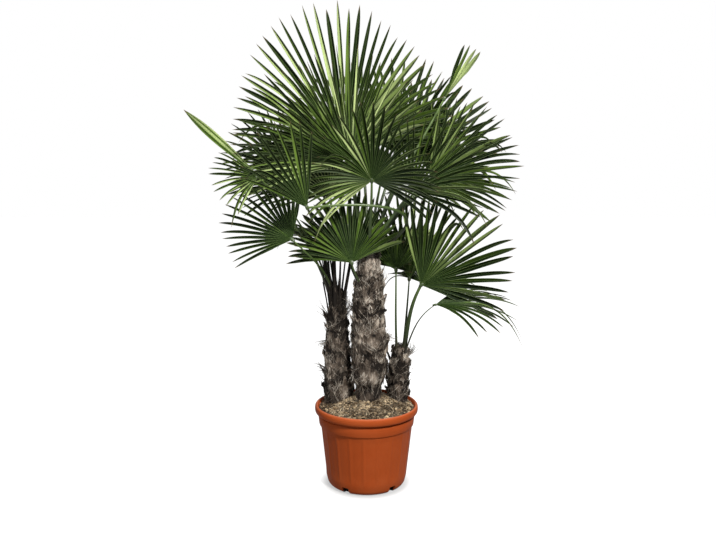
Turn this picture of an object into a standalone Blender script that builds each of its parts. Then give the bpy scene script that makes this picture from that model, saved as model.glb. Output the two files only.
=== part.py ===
"""Potted windmill palm: three fibrous trunks in one terracotta-coloured pot.

Metres, +Z up. The origin is the centre of the pot's underside. -Y is the front.
Every leaf is one solid: a stalk that ends in a pleated fan of pointed segments.
"""
import math
import random

import bmesh
import bpy
from mathutils import Vector
from mathutils.bvhtree import BVHTree

# Pot, a 500 mm wide and 398 mm tall container
POT_HEIGHT = 0.398
UNDER_RIM = 0.360
RIM_OUTLINE = (
    (0.2425, 0.3615), (0.2465, 0.3632), (0.2488, 0.3675), (0.2500, 0.3750), (0.2500, 0.3840),
    (0.2488, 0.3915), (0.2455, 0.3962), (0.2415, 0.3980), (0.2385, 0.3970), (0.2362, 0.3936),
    (0.2330, 0.3860), (0.2290, 0.3780), (0.2270, 0.3700),
)
WALL_TOP_RADIUS = 0.2335
BASE_RADIUS = 0.191
BASE_ROUNDING = 0.030
WALL = 0.005
FLOOR = 0.006
BAND_HEIGHT = 0.056
BAND_DEPTH = 0.0060
UNDERCUT = 0.009
POT_SIDES = 60
DRAIN_COUNT = 5
DRAIN_SIZE = (0.050, 0.036, 0.036)
DRAIN_HEIGHT = 0.014
DRAIN_FIRST_DEG = -122.0
DRAIN_TILT_DEG = -8.0

# Soil
GAP = 0.0003
SOIL_EDGE_HEIGHT = 0.380
SOIL_MOUND = 0.058
SOIL_EDGE_RADIUS = 0.2294
POCKET_SPARE = 0.005

# Trunks
TRUNK_SIDES = 14
TRUNK_ROUGHNESS = (0.94, 1.05)

# Leaves: shares are of a segment's full length
SEGMENT_DEG = 7.2
JOINED = 0.47
JOINED_AT_MOST = 0.9
PLEAT = 0.0045
BLADE = 0.0012
CUPPING = 0.12
SIDE_SHORTER = 0.26
SIDE_ANGLE = 0.7
DROOP_POWER = 2.6
HUB_RADIUS = 0.013
HUB_THICKNESS = 0.006
STALK_WIDE = 0.012
STALK_NARROW = 0.0055
STALK_RINGS = 7
STALK_END = 0.035
STALK_RISE = 0.9
LEAVE_REACH = 0.38
ARRIVE_REACH = 0.33
ARRIVE_ALONG = 0.45
STALK_SECTION = ((0, 0.7), (1.5, 0.5), (1.2, -0.5), (0, -1.0), (-1.2, -0.5), (-1.5, 0.5))

# Room between leaves
CLEARANCE = 0.0012
SHORTEST = 0.13
SHORTENING = 0.04
LEAVE_BELOW_HUB = 0.22
BASE_DROP = 0.012
BASE_DROPS = 14
BASE_TURN_DEG = 10.0
BASE_TURNS = 8
BASE_STEP = 0.003
BASE_STEPS = 8

UP = Vector((0.0, 0.0, 1.0))

# Each trunk: its foot on the ground plane, the lean of its top, and the radius at each height
TRUNKS = {
    "main": {
        "foot": (0.010, -0.020),
        "lean": (0.000, 0.010),
        "rings": (
            (0.335, 0.060), (0.400, 0.064), (0.500, 0.066), (0.520, 0.080), (0.620, 0.084),
            (0.690, 0.084), (0.720, 0.088), (0.800, 0.076), (0.920, 0.072), (1.000, 0.062),
            (1.060, 0.056), (1.110, 0.046), (1.150, 0.036), (1.165, 0.020),
        ),
    },
    "left": {
        "foot": (-0.136, 0.045),
        "lean": (-0.010, 0.000),
        "rings": (
            (0.335, 0.067), (0.400, 0.070), (0.450, 0.070), (0.560, 0.066), (0.640, 0.060),
            (0.700, 0.054), (0.780, 0.050), (0.830, 0.042), (0.890, 0.034), (0.945, 0.028),
            (0.965, 0.014),
        ),
    },
    "right": {
        "foot": (0.150, 0.050),
        "lean": (0.018, 0.000),
        "rings": (
            (0.335, 0.050), (0.400, 0.052), (0.450, 0.050), (0.550, 0.048), (0.620, 0.040),
            (0.660, 0.036), (0.675, 0.022),
        ),
    },
}


def leaf(name, trunk, hub, tip, faces, spread, droop, leave=None, arrive=None):
    """One leaf: where its blade starts, where its middle segment ends, and how it is turned.

    faces is the azimuth and elevation in degrees that the upper side looks towards, spread is
    the angle in degrees from the middle segment to the outermost one, droop is how far the tips
    sink as a share of their reach, and leave and arrive are the points that steer a bent stalk.
    """
    return {
        "name": name, "trunk": trunk, "hub": Vector(hub), "tip": Vector(tip), "faces": faces,
        "spread": math.radians(spread), "droop": droop, "leave": leave, "arrive": arrive,
        "segments": max(3, round(2.0 * spread / SEGMENT_DEG)),
    }


LEAVES = [
    leaf("leaf_top", "main", (-0.10, 0.10, 1.63), (-0.285, 0.22, 2.325), (-90, 5), 102, 0.05),
    leaf("leaf_top_front", "main", (-0.07, -0.05, 1.56), (-0.09, -0.05, 2.10), (-75, 10), 62, 0.05),
    leaf("leaf_front", "main", (0.02, -0.18, 1.48), (0.00, -0.34, 1.86), (-90, 35), 124, 0.20),
    leaf("leaf_left_upper", "main", (-0.11, 0.02, 1.55), (-0.56, -0.10, 1.92), (-115, 20), 52, 0.12),
    leaf("leaf_left_shaded", "main", (-0.26, -0.30, 1.37), (-0.455, -0.36, 1.735), (-70, 10), 36, 0.12,
         leave=(0.30, -0.10, 1.30), arrive=(0.20, -0.33, 1.42)),
    leaf("leaf_left_far", "left", (-0.49, -0.15, 1.495), (-0.67, -0.37, 1.50), (-35, 25), 40, 0.10),
    leaf("leaf_left_middle", "main", (-0.30, 0.06, 1.45), (-0.66, 0.02, 1.66), (-110, 20), 34, 0.12),
    leaf("leaf_left_low", "left", (-0.335, -0.20, 1.22), (-0.63, -0.13, 1.42), (-90, 30), 65, 0.10),
    leaf("leaf_front_low", "main", (-0.085, 0.065, 1.095), (-0.12, 0.36, 1.40), (-72, 45), 100, 0.10),
    leaf("leaf_centre_low", "main", (-0.07, -0.09, 1.10), (-0.13, 0.00, 1.46), (-90, 22), 75, 0.08),
    leaf("leaf_right_inner", "right", (0.14, 0.02, 1.05), (0.13, 0.06, 1.36), (-90, 0), 60, 0.05),
    leaf("leaf_right_inner_back", "right", (0.21, 0.12, 0.99), (0.24, 0.15, 1.46), (-90, 10), 36, 0.05),
    leaf("leaf_right_low", "right", (0.25, -0.12, 1.00), (0.60, -0.22, 1.35), (-85, 20), 62, 0.08),
    leaf("leaf_right_lowest", "right", (0.31, -0.18, 0.92), (0.70, -0.26, 1.00), (-80, 75), 52, 0.30),
    leaf("leaf_right", "main", (0.29, 0.00, 1.48), (0.70, -0.05, 1.68), (-70, 20), 60, 0.08),
    leaf("leaf_right_middle", "main", (0.20, -0.12, 1.43), (0.47, -0.30, 1.72), (-75, 25), 65, 0.10),
    leaf("leaf_right_behind", "main", (0.34, 0.14, 1.50), (0.70, 0.26, 1.78), (-70, 15), 60, 0.10),
    leaf("leaf_right_upper", "main", (0.21, 0.22, 1.57), (0.57, 0.38, 1.93), (-110, 10), 60, 0.05),
    leaf("leaf_young_folded", "main", (0.36, 0.05, 1.85), (0.49, 0.05, 2.09), (-90, 0), 8, 0.0),
    leaf("leaf_upper_back", "main", (0.14, 0.18, 1.60), (0.24, 0.34, 2.09), (-100, 10), 70, 0.05),
    leaf("leaf_left_back", "left", (-0.18, 0.25, 1.40), (-0.30, 0.50, 1.76), (-90, 20), 92, 0.10),
    leaf("leaf_left_high", "left", (-0.38, 0.15, 1.52), (-0.67, 0.20, 1.76), (-110, 20), 65, 0.12),
    leaf("leaf_left_spear", "left", (-0.50, -0.05, 1.50), (-0.845, 0.00, 1.80), (-90, 0), 6, 0.0),
    leaf("leaf_top_back", "main", (-0.02, 0.26, 1.66), (-0.06, 0.60, 2.12), (-90, 20), 85, 0.10),
    leaf("leaf_back_high", "main", (0.08, 0.36, 1.48), (0.16, 0.76, 1.80), (-90, 60), 95, 0.20),
    leaf("leaf_back_right", "main", (0.28, 0.28, 1.40), (0.60, 0.52, 1.52), (0, 85), 95, 0.25),
    leaf("leaf_back_left", "main", (-0.25, 0.30, 1.38), (-0.50, 0.64, 1.50), (0, 85), 95, 0.25),
    leaf("leaf_left_outer", "left", (-0.36, 0.34, 1.44), (-0.62, 0.58, 1.72), (-150, 30), 70, 0.10),
    leaf("leaf_right_outer", "main", (0.34, 0.38, 1.46), (0.58, 0.66, 1.72), (-30, 40), 70, 0.10),
    leaf("leaf_left_low_back", "left", (-0.22, 0.30, 1.17), (-0.42, 0.56, 1.26), (0, 80), 90, 0.20),
    leaf("leaf_right_low_back", "right", (0.28, 0.25, 0.95), (0.50, 0.52, 1.02), (0, 80), 90, 0.25),
    leaf("leaf_back_low", "main", (0.04, 0.40, 1.20), (0.02, 0.80, 1.17), (0, 85), 90, 0.30),
]


def clear_scene():
    for item in list(bpy.data.objects):
        bpy.data.objects.remove(item, do_unlink=True)


def material(name, colour, roughness):
    """A plain Principled material, without metal."""
    made = bpy.data.materials.new(name)
    made.use_nodes = True
    shader = made.node_tree.nodes["Principled BSDF"]
    shader.inputs["Base Color"].default_value = (*colour, 1.0)
    shader.inputs["Roughness"].default_value = roughness
    shader.inputs["Metallic"].default_value = 0.0
    return made


def add_object(name, mesh, finish):
    mesh.materials.append(finish)
    made = bpy.data.objects.new(name, mesh)
    bpy.context.collection.objects.link(made)
    return made


def turned(name, profile, finish, sides=POT_SIDES):
    """A closed solid spun around Z from (radius, height) points that start and end on the axis."""
    shape = bmesh.new()
    corners = [shape.verts.new((radius, 0.0, height)) for radius, height in profile]
    edges = [shape.edges.new(pair) for pair in zip(corners, corners[1:])]
    bmesh.ops.spin(
        shape, geom=corners + edges, cent=(0, 0, 0), axis=(0, 0, 1), dvec=(0, 0, 0),
        angle=math.tau, steps=sides, use_duplicate=False,
    )
    bmesh.ops.remove_doubles(shape, verts=shape.verts[:], dist=1e-6)
    bmesh.ops.recalc_face_normals(shape, faces=shape.faces[:])
    mesh = bpy.data.meshes.new(name)
    shape.to_mesh(mesh)
    shape.free()
    mesh.shade_smooth()
    mesh.set_sharp_from_angle(angle=math.radians(40))
    return add_object(name, mesh, finish)


def arc(centre, radius, start_deg, end_deg, steps):
    """Points of an arc in the (radius, height) plane."""
    points = []
    for step in range(steps + 1):
        angle = math.radians(start_deg + (end_deg - start_deg) * step / steps)
        points.append((centre[0] + radius * math.cos(angle), centre[1] + radius * math.sin(angle)))
    return points


def wall_radius(height):
    """Outer radius of the pot's tapering wall."""
    share = height / POT_HEIGHT
    return BASE_RADIUS + (WALL_TOP_RADIUS - BASE_RADIUS) * share


def cut(target, cutter):
    """Cuts the cutter away from the target, and hides the cutter."""
    cutter.hide_render = True
    cutter.display_type = "WIRE"
    cutter.hide_set(True)
    modifier = target.modifiers.new("cut", "BOOLEAN")
    modifier.operation = "DIFFERENCE"
    modifier.solver = "EXACT"
    modifier.object = cutter


def make_pot(finish):
    """Tapered wall with a rolled rim, a band under it and notches in its foot."""
    band_bottom = UNDER_RIM - BAND_HEIGHT
    foot = BASE_RADIUS - BASE_ROUNDING
    profile = [(0.0, 0.0), (foot, 0.0)]
    profile += arc((foot, BASE_ROUNDING), BASE_ROUNDING, -72, -12, 4)
    profile += [
        (wall_radius(0.050), 0.050),
        (wall_radius(band_bottom), band_bottom),
        (wall_radius(band_bottom) + BAND_DEPTH, band_bottom + 0.001),
        (wall_radius(UNDER_RIM) + BAND_DEPTH * 0.8, UNDER_RIM - UNDERCUT - 0.007),
        (wall_radius(UNDER_RIM) + BAND_DEPTH * 0.5, UNDER_RIM - UNDERCUT - 0.002),
        (wall_radius(UNDER_RIM) - 0.001, UNDER_RIM - UNDERCUT),
        (wall_radius(UNDER_RIM) - 0.001, UNDER_RIM + 0.001),
    ]
    profile += RIM_OUTLINE
    profile += [
        (wall_radius(0.050) - WALL, 0.050),
        (foot, FLOOR + 0.004),
        (foot - 0.010, FLOOR),
        (0.0, FLOOR),
    ]
    pot = turned("pot", profile, finish)
    for number in range(DRAIN_COUNT):
        angle = math.radians(DRAIN_FIRST_DEG + number * 360.0 / DRAIN_COUNT)
        bpy.ops.mesh.primitive_cube_add(size=1.0)
        cutter = bpy.context.object
        cutter.name = f"drain_cutter_{number}"
        cutter.scale = DRAIN_SIZE
        cutter.rotation_euler = (0.0, math.radians(DRAIN_TILT_DEG), angle)
        reach = BASE_RADIUS - 0.012
        cutter.location = (reach * math.cos(angle), reach * math.sin(angle), DRAIN_HEIGHT)
        cut(pot, cutter)
    return pot


def trunk_centre(trunk, height):
    """Centre of a trunk at a height, on its leaning axis."""
    share = max(0.0, (height - POT_HEIGHT) / (trunk["rings"][-1][0] - POT_HEIGHT))
    foot = Vector((*trunk["foot"], height))
    return foot + Vector((*trunk["lean"], 0.0)) * share


def trunk_radius(trunk, height):
    rings = trunk["rings"]
    for (low, low_radius), (high, high_radius) in zip(rings, rings[1:]):
        if height <= high:
            share = max(0.0, (height - low) / (high - low))
            return low_radius + (high_radius - low_radius) * share
    return rings[-1][1]


def trunk_geometry(trunk, seed, grow=0.0):
    """Corners and faces of a trunk: rings that wander a little in radius, closed at both ends."""
    chance = random.Random(seed)
    corners = []
    faces = []
    for level, (height, radius) in enumerate(trunk["rings"]):
        centre = trunk_centre(trunk, height)
        buried = height <= SOIL_EDGE_HEIGHT + SOIL_MOUND
        for side in range(TRUNK_SIDES):
            angle = math.tau * (side + 0.5 * (level % 2) * (not buried)) / TRUNK_SIDES
            reach = radius * (1.0 if buried else chance.uniform(*TRUNK_ROUGHNESS)) + grow
            corners.append(centre + Vector((math.cos(angle), math.sin(angle), 0.0)) * reach)
    count = len(trunk["rings"])
    for level in range(count - 1):
        for side in range(TRUNK_SIDES):
            low = level * TRUNK_SIDES
            following = (side + 1) % TRUNK_SIDES
            faces.append((low + side, low + following, low + TRUNK_SIDES + following))
            faces.append((low + side, low + TRUNK_SIDES + following, low + TRUNK_SIDES + side))
    corners.append(trunk_centre(trunk, trunk["rings"][0][0]))
    corners.append(trunk_centre(trunk, trunk["rings"][-1][0] + 0.004))
    top = (count - 1) * TRUNK_SIDES
    for side in range(TRUNK_SIDES):
        following = (side + 1) % TRUNK_SIDES
        faces.append((len(corners) - 2, following, side))
        faces.append((len(corners) - 1, top + side, top + following))
    return corners, faces


def mesh_object(name, corners, faces, finish):
    """An object from corners and faces, with its normals made to point out."""
    mesh = bpy.data.meshes.new(name)
    mesh.from_pydata([tuple(corner) for corner in corners], [], faces)
    shape = bmesh.new()
    shape.from_mesh(mesh)
    bmesh.ops.recalc_face_normals(shape, faces=shape.faces[:])
    bmesh.ops.triangulate(shape, faces=shape.faces[:])
    shape.to_mesh(mesh)
    shape.free()
    return add_object(name, mesh, finish)


def make_soil(finish):
    """Soil that fills the pot, gently mounded, with a pocket for the foot of each trunk."""
    foot = BASE_RADIUS - BASE_ROUNDING
    lower = wall_radius(0.050) - WALL - GAP
    inner_top, turn_height = RIM_OUTLINE[-1]
    flare, flare_height = RIM_OUTLINE[-2]
    profile = [
        (0.0, FLOOR + GAP),
        (foot - 0.010, FLOOR + GAP),
        (foot - GAP, FLOOR + 0.004 + GAP),
        (lower, 0.050),
        (inner_top - 2.0 * GAP, turn_height),
        (flare - 2.0 * GAP, flare_height),
        (SOIL_EDGE_RADIUS, SOIL_EDGE_HEIGHT),
    ]
    for share in (0.85, 0.7, 0.5, 0.25):
        rise = SOIL_MOUND * (1.0 - share * share) ** 1.5
        profile.append((SOIL_EDGE_RADIUS * share, SOIL_EDGE_HEIGHT + rise))
    profile.append((0.0, SOIL_EDGE_HEIGHT + SOIL_MOUND))
    soil = turned("soil", profile, finish)
    for name, trunk in TRUNKS.items():
        height, radius = trunk["rings"][0]
        bpy.ops.mesh.primitive_cylinder_add(vertices=TRUNK_SIDES, radius=1.0, depth=0.2)
        cutter = bpy.context.object
        cutter.name = f"pocket_cutter_{name}"
        cutter.rotation_euler = (0.0, 0.0, math.radians(90.0 / TRUNK_SIDES))
        widest = trunk["rings"][1][1] + POCKET_SPARE
        cutter.scale = (widest, widest, 1.0)
        cutter.location = (*trunk_centre(trunk, height).xy, height - GAP + 0.1)
        cut(soil, cutter)
    return soil


def blade_axes(item):
    """Unit vectors along the middle segment, to its left, and out of the upper side."""
    along = (item["tip"] - item["hub"]).normalized()
    azimuth, elevation = (math.radians(value) for value in item["faces"])
    look = Vector((
        math.cos(elevation) * math.cos(azimuth),
        math.cos(elevation) * math.sin(azimuth),
        math.sin(elevation),
    ))
    normal = (look - along * look.dot(along)).normalized()
    return along, normal.cross(along), normal


def rib(item, angle):
    """Direction and full length of a rib: the middle ones reach furthest."""
    along, left, normal = blade_axes(item)
    cupped = normal * CUPPING * abs(math.sin(angle))
    direction = (along * math.cos(angle) + left * math.sin(angle) + cupped).normalized()
    full = (item["tip"] - item["hub"]).length
    shorter = SIDE_SHORTER * (1.0 - math.exp(-((angle / SIDE_ANGLE) ** 2)))
    return direction, full * (1.0 - shorter)


def along_rib(item, angle, share):
    """A point on a rib, which sinks under its own weight towards the tip."""
    direction, length = rib(item, angle)
    level = math.sqrt(max(0.0, 1.0 - direction.z ** 2))
    sink = item["droop"] * length * level * share ** DROOP_POWER
    return item["hub"] + direction * length * share - UP * sink


def stalk_path(item, base):
    """A smooth curve from the trunk to the hub of the blade."""
    along = blade_axes(item)[0]
    hub = item["hub"]
    span = (hub - base).length
    straight = (hub - base).normalized()
    first = base + (UP * STALK_RISE + straight).normalized() * span * LEAVE_REACH
    arriving = (along * ARRIVE_ALONG + straight * (1.0 - ARRIVE_ALONG)).normalized()
    second = hub - arriving * span * ARRIVE_REACH
    if item["arrive"]:
        first = Vector(item["leave"])
        second = Vector(item["arrive"])
    points = []
    for ring in range(STALK_RINGS + 1):
        share = ring / STALK_RINGS * (1.0 - STALK_END / span)
        rest = 1.0 - share
        points.append(
            base * rest ** 3 + first * 3.0 * rest ** 2 * share
            + second * 3.0 * rest * share ** 2 + hub * share ** 3
        )
    return points


def leaf_geometry(item, base, reach, grow=0.0):
    """Corners and faces of a leaf, and the segment that each face belongs to, or None.

    reach holds the share of its full length that each segment keeps. The hub is a small plate
    whose open side, six corners, is where the stalk starts.
    """
    along, left, normal = blade_axes(item)
    hub = item["hub"]
    count = item["segments"]
    seams = [item["spread"] * (2.0 * number / count - 1.0) for number in range(count + 1)]
    corners = [hub + normal * HUB_THICKNESS * 0.5, hub - normal * HUB_THICKNESS * 0.5]
    for angle in seams:
        direction, length = rib(item, angle)
        for side in (0.5, -0.5):
            lift = normal * side * (HUB_THICKNESS + grow)
            corners.append(hub + direction * (HUB_RADIUS + grow) + lift)
    faces = []
    owners = []
    for number in range(count):
        upper = 2 + 2 * number
        faces += [(0, upper, upper + 2), (1, upper + 3, upper + 1)]
        owners += [None, None]
    last = 2 + 2 * count
    edge = len(corners)
    for number, angle in enumerate(seams):
        kept = min(reach[max(0, number - 1)], reach[min(count - 1, number)])
        share = min(JOINED, kept * JOINED_AT_MOST)
        point = along_rib(item, angle, share)
        corners.append(point + normal * (BLADE + grow) * 0.5)
        corners.append(point - normal * (BLADE + grow) * 0.5)
    for number in range(count):
        angle = 0.5 * (seams[number] + seams[number + 1])
        share = min(JOINED, reach[number] * JOINED_AT_MOST)
        ridge = len(corners)
        corners.append(along_rib(item, angle, share) + normal * (PLEAT + grow))
        corners.append(along_rib(item, angle, reach[number]))
        inner = 2 + 2 * number
        outer = edge + 2 * number
        faces += [
            (inner, outer, ridge), (inner, ridge, inner + 2), (inner + 2, ridge, outer + 2),
            (inner + 1, inner + 3, outer + 3), (inner + 1, outer + 3, outer + 1),
            (outer, ridge + 1, ridge), (ridge, ridge + 1, outer + 2),
            (outer, outer + 1, ridge + 1), (outer + 3, outer + 2, ridge + 1),
            (outer + 1, outer + 3, ridge + 1),
        ]
        owners += [number] * 10
    faces += [(2, 3, edge + 1, edge), (last, edge + 2 * count, edge + 2 * count + 1, last + 1)]
    owners += [0, count - 1]
    # the stalk: six-sided rings from the hub's open side back to the trunk
    previous = (0, last, last + 1, 1, 3, 2)
    points = stalk_path(item, base)
    for ring in range(STALK_RINGS, -1, -1):
        share = ring / STALK_RINGS
        if ring == STALK_RINGS:
            heading = (hub - points[ring]).normalized()
        else:
            heading = (points[ring + 1] - points[ring]).normalized()
        up = (normal - heading * normal.dot(heading)).normalized()
        across = up.cross(heading)
        half = 0.5 * (STALK_WIDE * (1.0 - share) + STALK_NARROW * share + grow)
        start = len(corners)
        for sideways, lift in STALK_SECTION:
            corners.append(points[ring] + (across * sideways + up * lift) * half)
        for side in range(6):
            following = (side + 1) % 6
            faces.append((previous[side], previous[following], start + following, start + side))
            owners.append(None)
        previous = tuple(range(start, start + 6))
    faces.append(previous)
    owners.append(None)
    return corners, faces, owners


def tree(corners, faces):
    return BVHTree.FromPolygons([tuple(corner) for corner in corners], faces)


def bare(item, base, grow):
    """A leaf's stalk with its blade cut as short as it may get."""
    return tree(*leaf_geometry(item, base, [SHORTEST] * item["segments"], grow)[:2])


def find_base(item, obstacles):
    """The highest place on the leaf's trunk from which its stalk passes clear of the obstacles."""
    trunk = TRUNKS[item["trunk"]]
    aside = (item["hub"] - trunk_centre(trunk, item["hub"].z)).length
    top = min(trunk["rings"][-2][0], item["hub"].z - min(LEAVE_BELOW_HUB, aside))
    towards = Vector(item["leave"] or item["hub"]) - trunk_centre(trunk, top)
    heading = math.atan2(towards.y, towards.x)
    turns = sorted(range(-BASE_TURNS, BASE_TURNS + 1), key=abs)
    for drop in range(BASE_DROPS):
        height = top - BASE_DROP * drop
        for turn in turns:
            angle = heading + math.radians(BASE_TURN_DEG) * turn
            outwards = Vector((math.cos(angle), math.sin(angle), 0.0))
            for step in range(1, BASE_STEPS + 1):
                offset = trunk_radius(trunk, height) + BASE_STEP * step
                base = trunk_centre(trunk, height) + outwards * offset
                stalk = bare(item, base, 0.0)
                if not any(stalk.overlap(other) for other in obstacles):
                    return base
    raise ValueError(f"no clear place for {item['name']}")


def fit_segments(item, base, obstacles):
    """Shortens each segment that would run into something, until the whole blade is clear."""
    reach = [1.0] * item["segments"]
    for _ in range(math.ceil(1.0 / SHORTENING) * item["segments"]):
        blade = tree(*leaf_geometry(item, base, reach)[:2])
        owners = leaf_geometry(item, base, reach)[2]
        touched = set()
        for other in obstacles:
            touched.update(owners[mine] for mine, theirs in blade.overlap(other))
        touched = [number for number in touched if number is not None and reach[number] > SHORTEST]
        if not touched:
            break
        for number in touched:
            reach[number] = max(SHORTEST, reach[number] - SHORTENING)
    return reach


def make_leaves(finish, trunk_trees):
    bases = []
    stalks = []
    for item in LEAVES:
        bases.append(find_base(item, stalks + trunk_trees))
        stalks.append(bare(item, bases[-1], CLEARANCE))
    blades = []
    for number, item in enumerate(LEAVES):
        others = stalks[:number] + stalks[number + 1:]
        reach = fit_segments(item, bases[number], others + blades + trunk_trees)
        corners, faces, owners = leaf_geometry(item, bases[number], reach)
        mesh_object(item["name"], corners, faces, finish)
        blades.append(tree(*leaf_geometry(item, bases[number], reach, CLEARANCE)[:2]))


def main():
    clear_scene()
    terracotta = material("terracotta_plastic", (0.33, 0.075, 0.028), 0.5)
    bark_mulch = material("bark_mulch", (0.25, 0.18, 0.11), 0.95)
    fibre = material("trunk_fibre", (0.16, 0.12, 0.085), 0.95)
    green = material("palm_leaf", (0.045, 0.12, 0.02), 0.45)
    make_pot(terracotta)
    make_soil(bark_mulch)
    trunk_trees = []
    for seed, (name, trunk) in enumerate(TRUNKS.items()):
        mesh_object(f"trunk_{name}", *trunk_geometry(trunk, seed), fibre)
        trunk_trees.append(tree(*trunk_geometry(trunk, seed, CLEARANCE)))
    make_leaves(green, trunk_trees)


main()
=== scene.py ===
"""Potted windmill palm: three shaggy trunks and their fan leaves in one terracotta-coloured pot.

Metres, +Z up, -Y is the front. Each piece stands where the frame's solid of the same name is.
"""

import math
import random

import bpy
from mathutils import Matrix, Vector, noise


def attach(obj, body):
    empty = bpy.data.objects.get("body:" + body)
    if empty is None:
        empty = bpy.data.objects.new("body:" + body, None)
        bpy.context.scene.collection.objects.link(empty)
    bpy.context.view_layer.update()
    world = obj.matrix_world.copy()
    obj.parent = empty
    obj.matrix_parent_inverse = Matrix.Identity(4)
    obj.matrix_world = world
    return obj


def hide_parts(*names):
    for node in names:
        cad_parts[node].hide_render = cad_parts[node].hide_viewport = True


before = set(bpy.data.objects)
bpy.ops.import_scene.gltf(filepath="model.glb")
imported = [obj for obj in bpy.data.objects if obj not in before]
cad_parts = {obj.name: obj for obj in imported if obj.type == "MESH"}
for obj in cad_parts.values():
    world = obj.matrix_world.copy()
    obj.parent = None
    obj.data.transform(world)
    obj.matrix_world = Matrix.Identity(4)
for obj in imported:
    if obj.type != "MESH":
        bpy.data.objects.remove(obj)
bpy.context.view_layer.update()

UP = Vector((0.0, 0.0, 1.0))
ALL_SMOOTH = 180

# Room
LAMPS = (  # name, place, target, size, power and colour
    ("key", (1.7, -3.4, 4.3), (0.0, 0.0, 1.0), 0.6, 400.0, (1.0, 0.98, 0.94)),
    ("top", (-0.3, -0.6, 5.4), (0.0, 0.0, 1.0), 2.0, 150.0, (0.97, 0.99, 1.0)),
    ("fill", (-3.0, -3.0, 2.2), (0.0, 0.0, 1.0), 2.5, 50.0, (0.95, 0.98, 1.0)),
    ("back", (0.6, 4.6, 3.2), (0.0, 0.0, 1.1), 3.0, 110.0, (1.0, 1.0, 0.98)),
)
CAMERA_PLACE = (-0.041, -3.80, 1.628)
CAMERA_TILT_DEG = 81.39
CAMERA_LENS_MM = 40.73
CAMERA_SENSOR_MM = 36.0
FLOOR_SIDE = 30.0
FLOOR_MIRRORED = 0.30
WORLD_LIGHT = 0.13
WORLD_MIRRORED = 0.03

# Pot
POT_HEIGHT = 0.398
UNDER_RIM = 0.360
RIM_OUTLINE = (
    (0.2425, 0.3615), (0.2465, 0.3632), (0.2488, 0.3675), (0.2500, 0.3750), (0.2500, 0.3840),
    (0.2488, 0.3915), (0.2455, 0.3962), (0.2415, 0.3980), (0.2385, 0.3970), (0.2362, 0.3936),
    (0.2330, 0.3860), (0.2290, 0.3780), (0.2270, 0.3700),
)
WALL_TOP_RADIUS = 0.2335
BASE_RADIUS = 0.191
BASE_ROUNDING = 0.030
WALL = 0.005
WALL_FOOT = 0.050
WALL_ROW = 0.012
WALL_ROWS = 20
FLOOR = 0.006
BAND_HEIGHT = 0.056
BAND_DEPTH = 0.0060
UNDERCUT = 0.009
POT_SIDES = 224
PANEL_COUNT = 20
PANEL_TURN_DEG = 94.0
PANEL_DEPTH = 0.0026
PANEL_FOOT = 0.045
PANEL_FULL = 0.100
PANEL_ARCH = 0.020
PANEL_FADE = 0.018
DRAIN_COUNT = 5
DRAIN_FIRST_DEG = -122.0
DRAIN_TILT_DEG = -8
DRAIN_SIZE = (0.050, 0.036, 0.036)
DRAIN_INSET = 0.012
DRAIN_HEIGHT = 0.014

# Soil
SOIL_EDGE_HEIGHT = 0.380
SOIL_MOUND = 0.058
SOIL_EDGE_RADIUS = 0.2294
SOIL_GAP = 0.0004
SOIL_RIM_GAP = 0.0006
SOIL_ROWS = 44
SOIL_SIDES = 140
LITTER_SEED = 71
CHIP_COUNT = 1300
CHIP_REACH = 0.222
CHIP_STRETCHES = ((1.0, 2.0), (0.7, 1.2), (0.3, 0.7))
CHIP_TONES = (0.05, 0.45, 0.75, 1.0)
LITTER_COUNT = 900
LITTER_REACH = 0.225
LITTER_LIMIT = 0.228

# Trunks
TRUNK_SEED = 100
GOLDEN_TURN = 2.39996
CORE_SIDES = 72
CORE_ROW = 0.008
WRAP_COLUMNS = 10
WRAP_ROWS = 6
WRAP_THICKNESS = 0.0016
STALK_BUNDLE = 30
TUFT_COUNT = 18
TUFT_REACH = 0.078
THREAD_SECTIONS = 6
TRUNKS = {
    "main": {
        "foot": (0.010, -0.020),
        "lean": (0.000, 0.010),
        "rings": (
            (0.335, 0.060), (0.400, 0.064), (0.500, 0.066), (0.520, 0.080), (0.620, 0.084),
            (0.690, 0.084), (0.720, 0.088), (0.800, 0.076), (0.920, 0.072), (1.000, 0.062),
            (1.060, 0.056), (1.110, 0.046), (1.150, 0.036), (1.165, 0.020),
        ),
        "skirt": 0.515,
        "light": 0.53,
        "dark_above": 2.0,
        "tufts": ((0.985, 20, 0.8), (0.86, 178, 0.9), (0.735, 0, -0.2)),
        "wraps": 74,
        "strands": 2600,
        "stubs": 9,
    },
    "left": {
        "foot": (-0.136, 0.045),
        "lean": (-0.010, 0.000),
        "rings": (
            (0.335, 0.067), (0.400, 0.070), (0.450, 0.070), (0.560, 0.066), (0.640, 0.060),
            (0.700, 0.054), (0.780, 0.050), (0.830, 0.042), (0.890, 0.034), (0.945, 0.028),
            (0.965, 0.014),
        ),
        "skirt": 0.40,
        "light": 0.34,
        "dark_above": 0.82,
        "stalks_to": 1.15,
        "tufts": ((0.690, 182, 0.0), (0.815, 12, 1.2), (0.805, 172, 1.2), (0.55, 176, 0.6)),
        "wraps": 46,
        "strands": 1700,
        "stubs": 9,
    },
    "right": {
        "foot": (0.150, 0.050),
        "lean": (0.018, 0.000),
        "rings": (
            (0.335, 0.050), (0.400, 0.052), (0.450, 0.050), (0.550, 0.048), (0.620, 0.040),
            (0.660, 0.036), (0.675, 0.022),
        ),
        "skirt": 0.40,
        "light": 0.35,
        "dark_above": 2.0,
        "tufts": ((0.625, 4, 0.8), (0.54, 182, 0.8)),
        "wraps": 26,
        "strands": 1000,
        "stubs": 8,
    },
}
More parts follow.
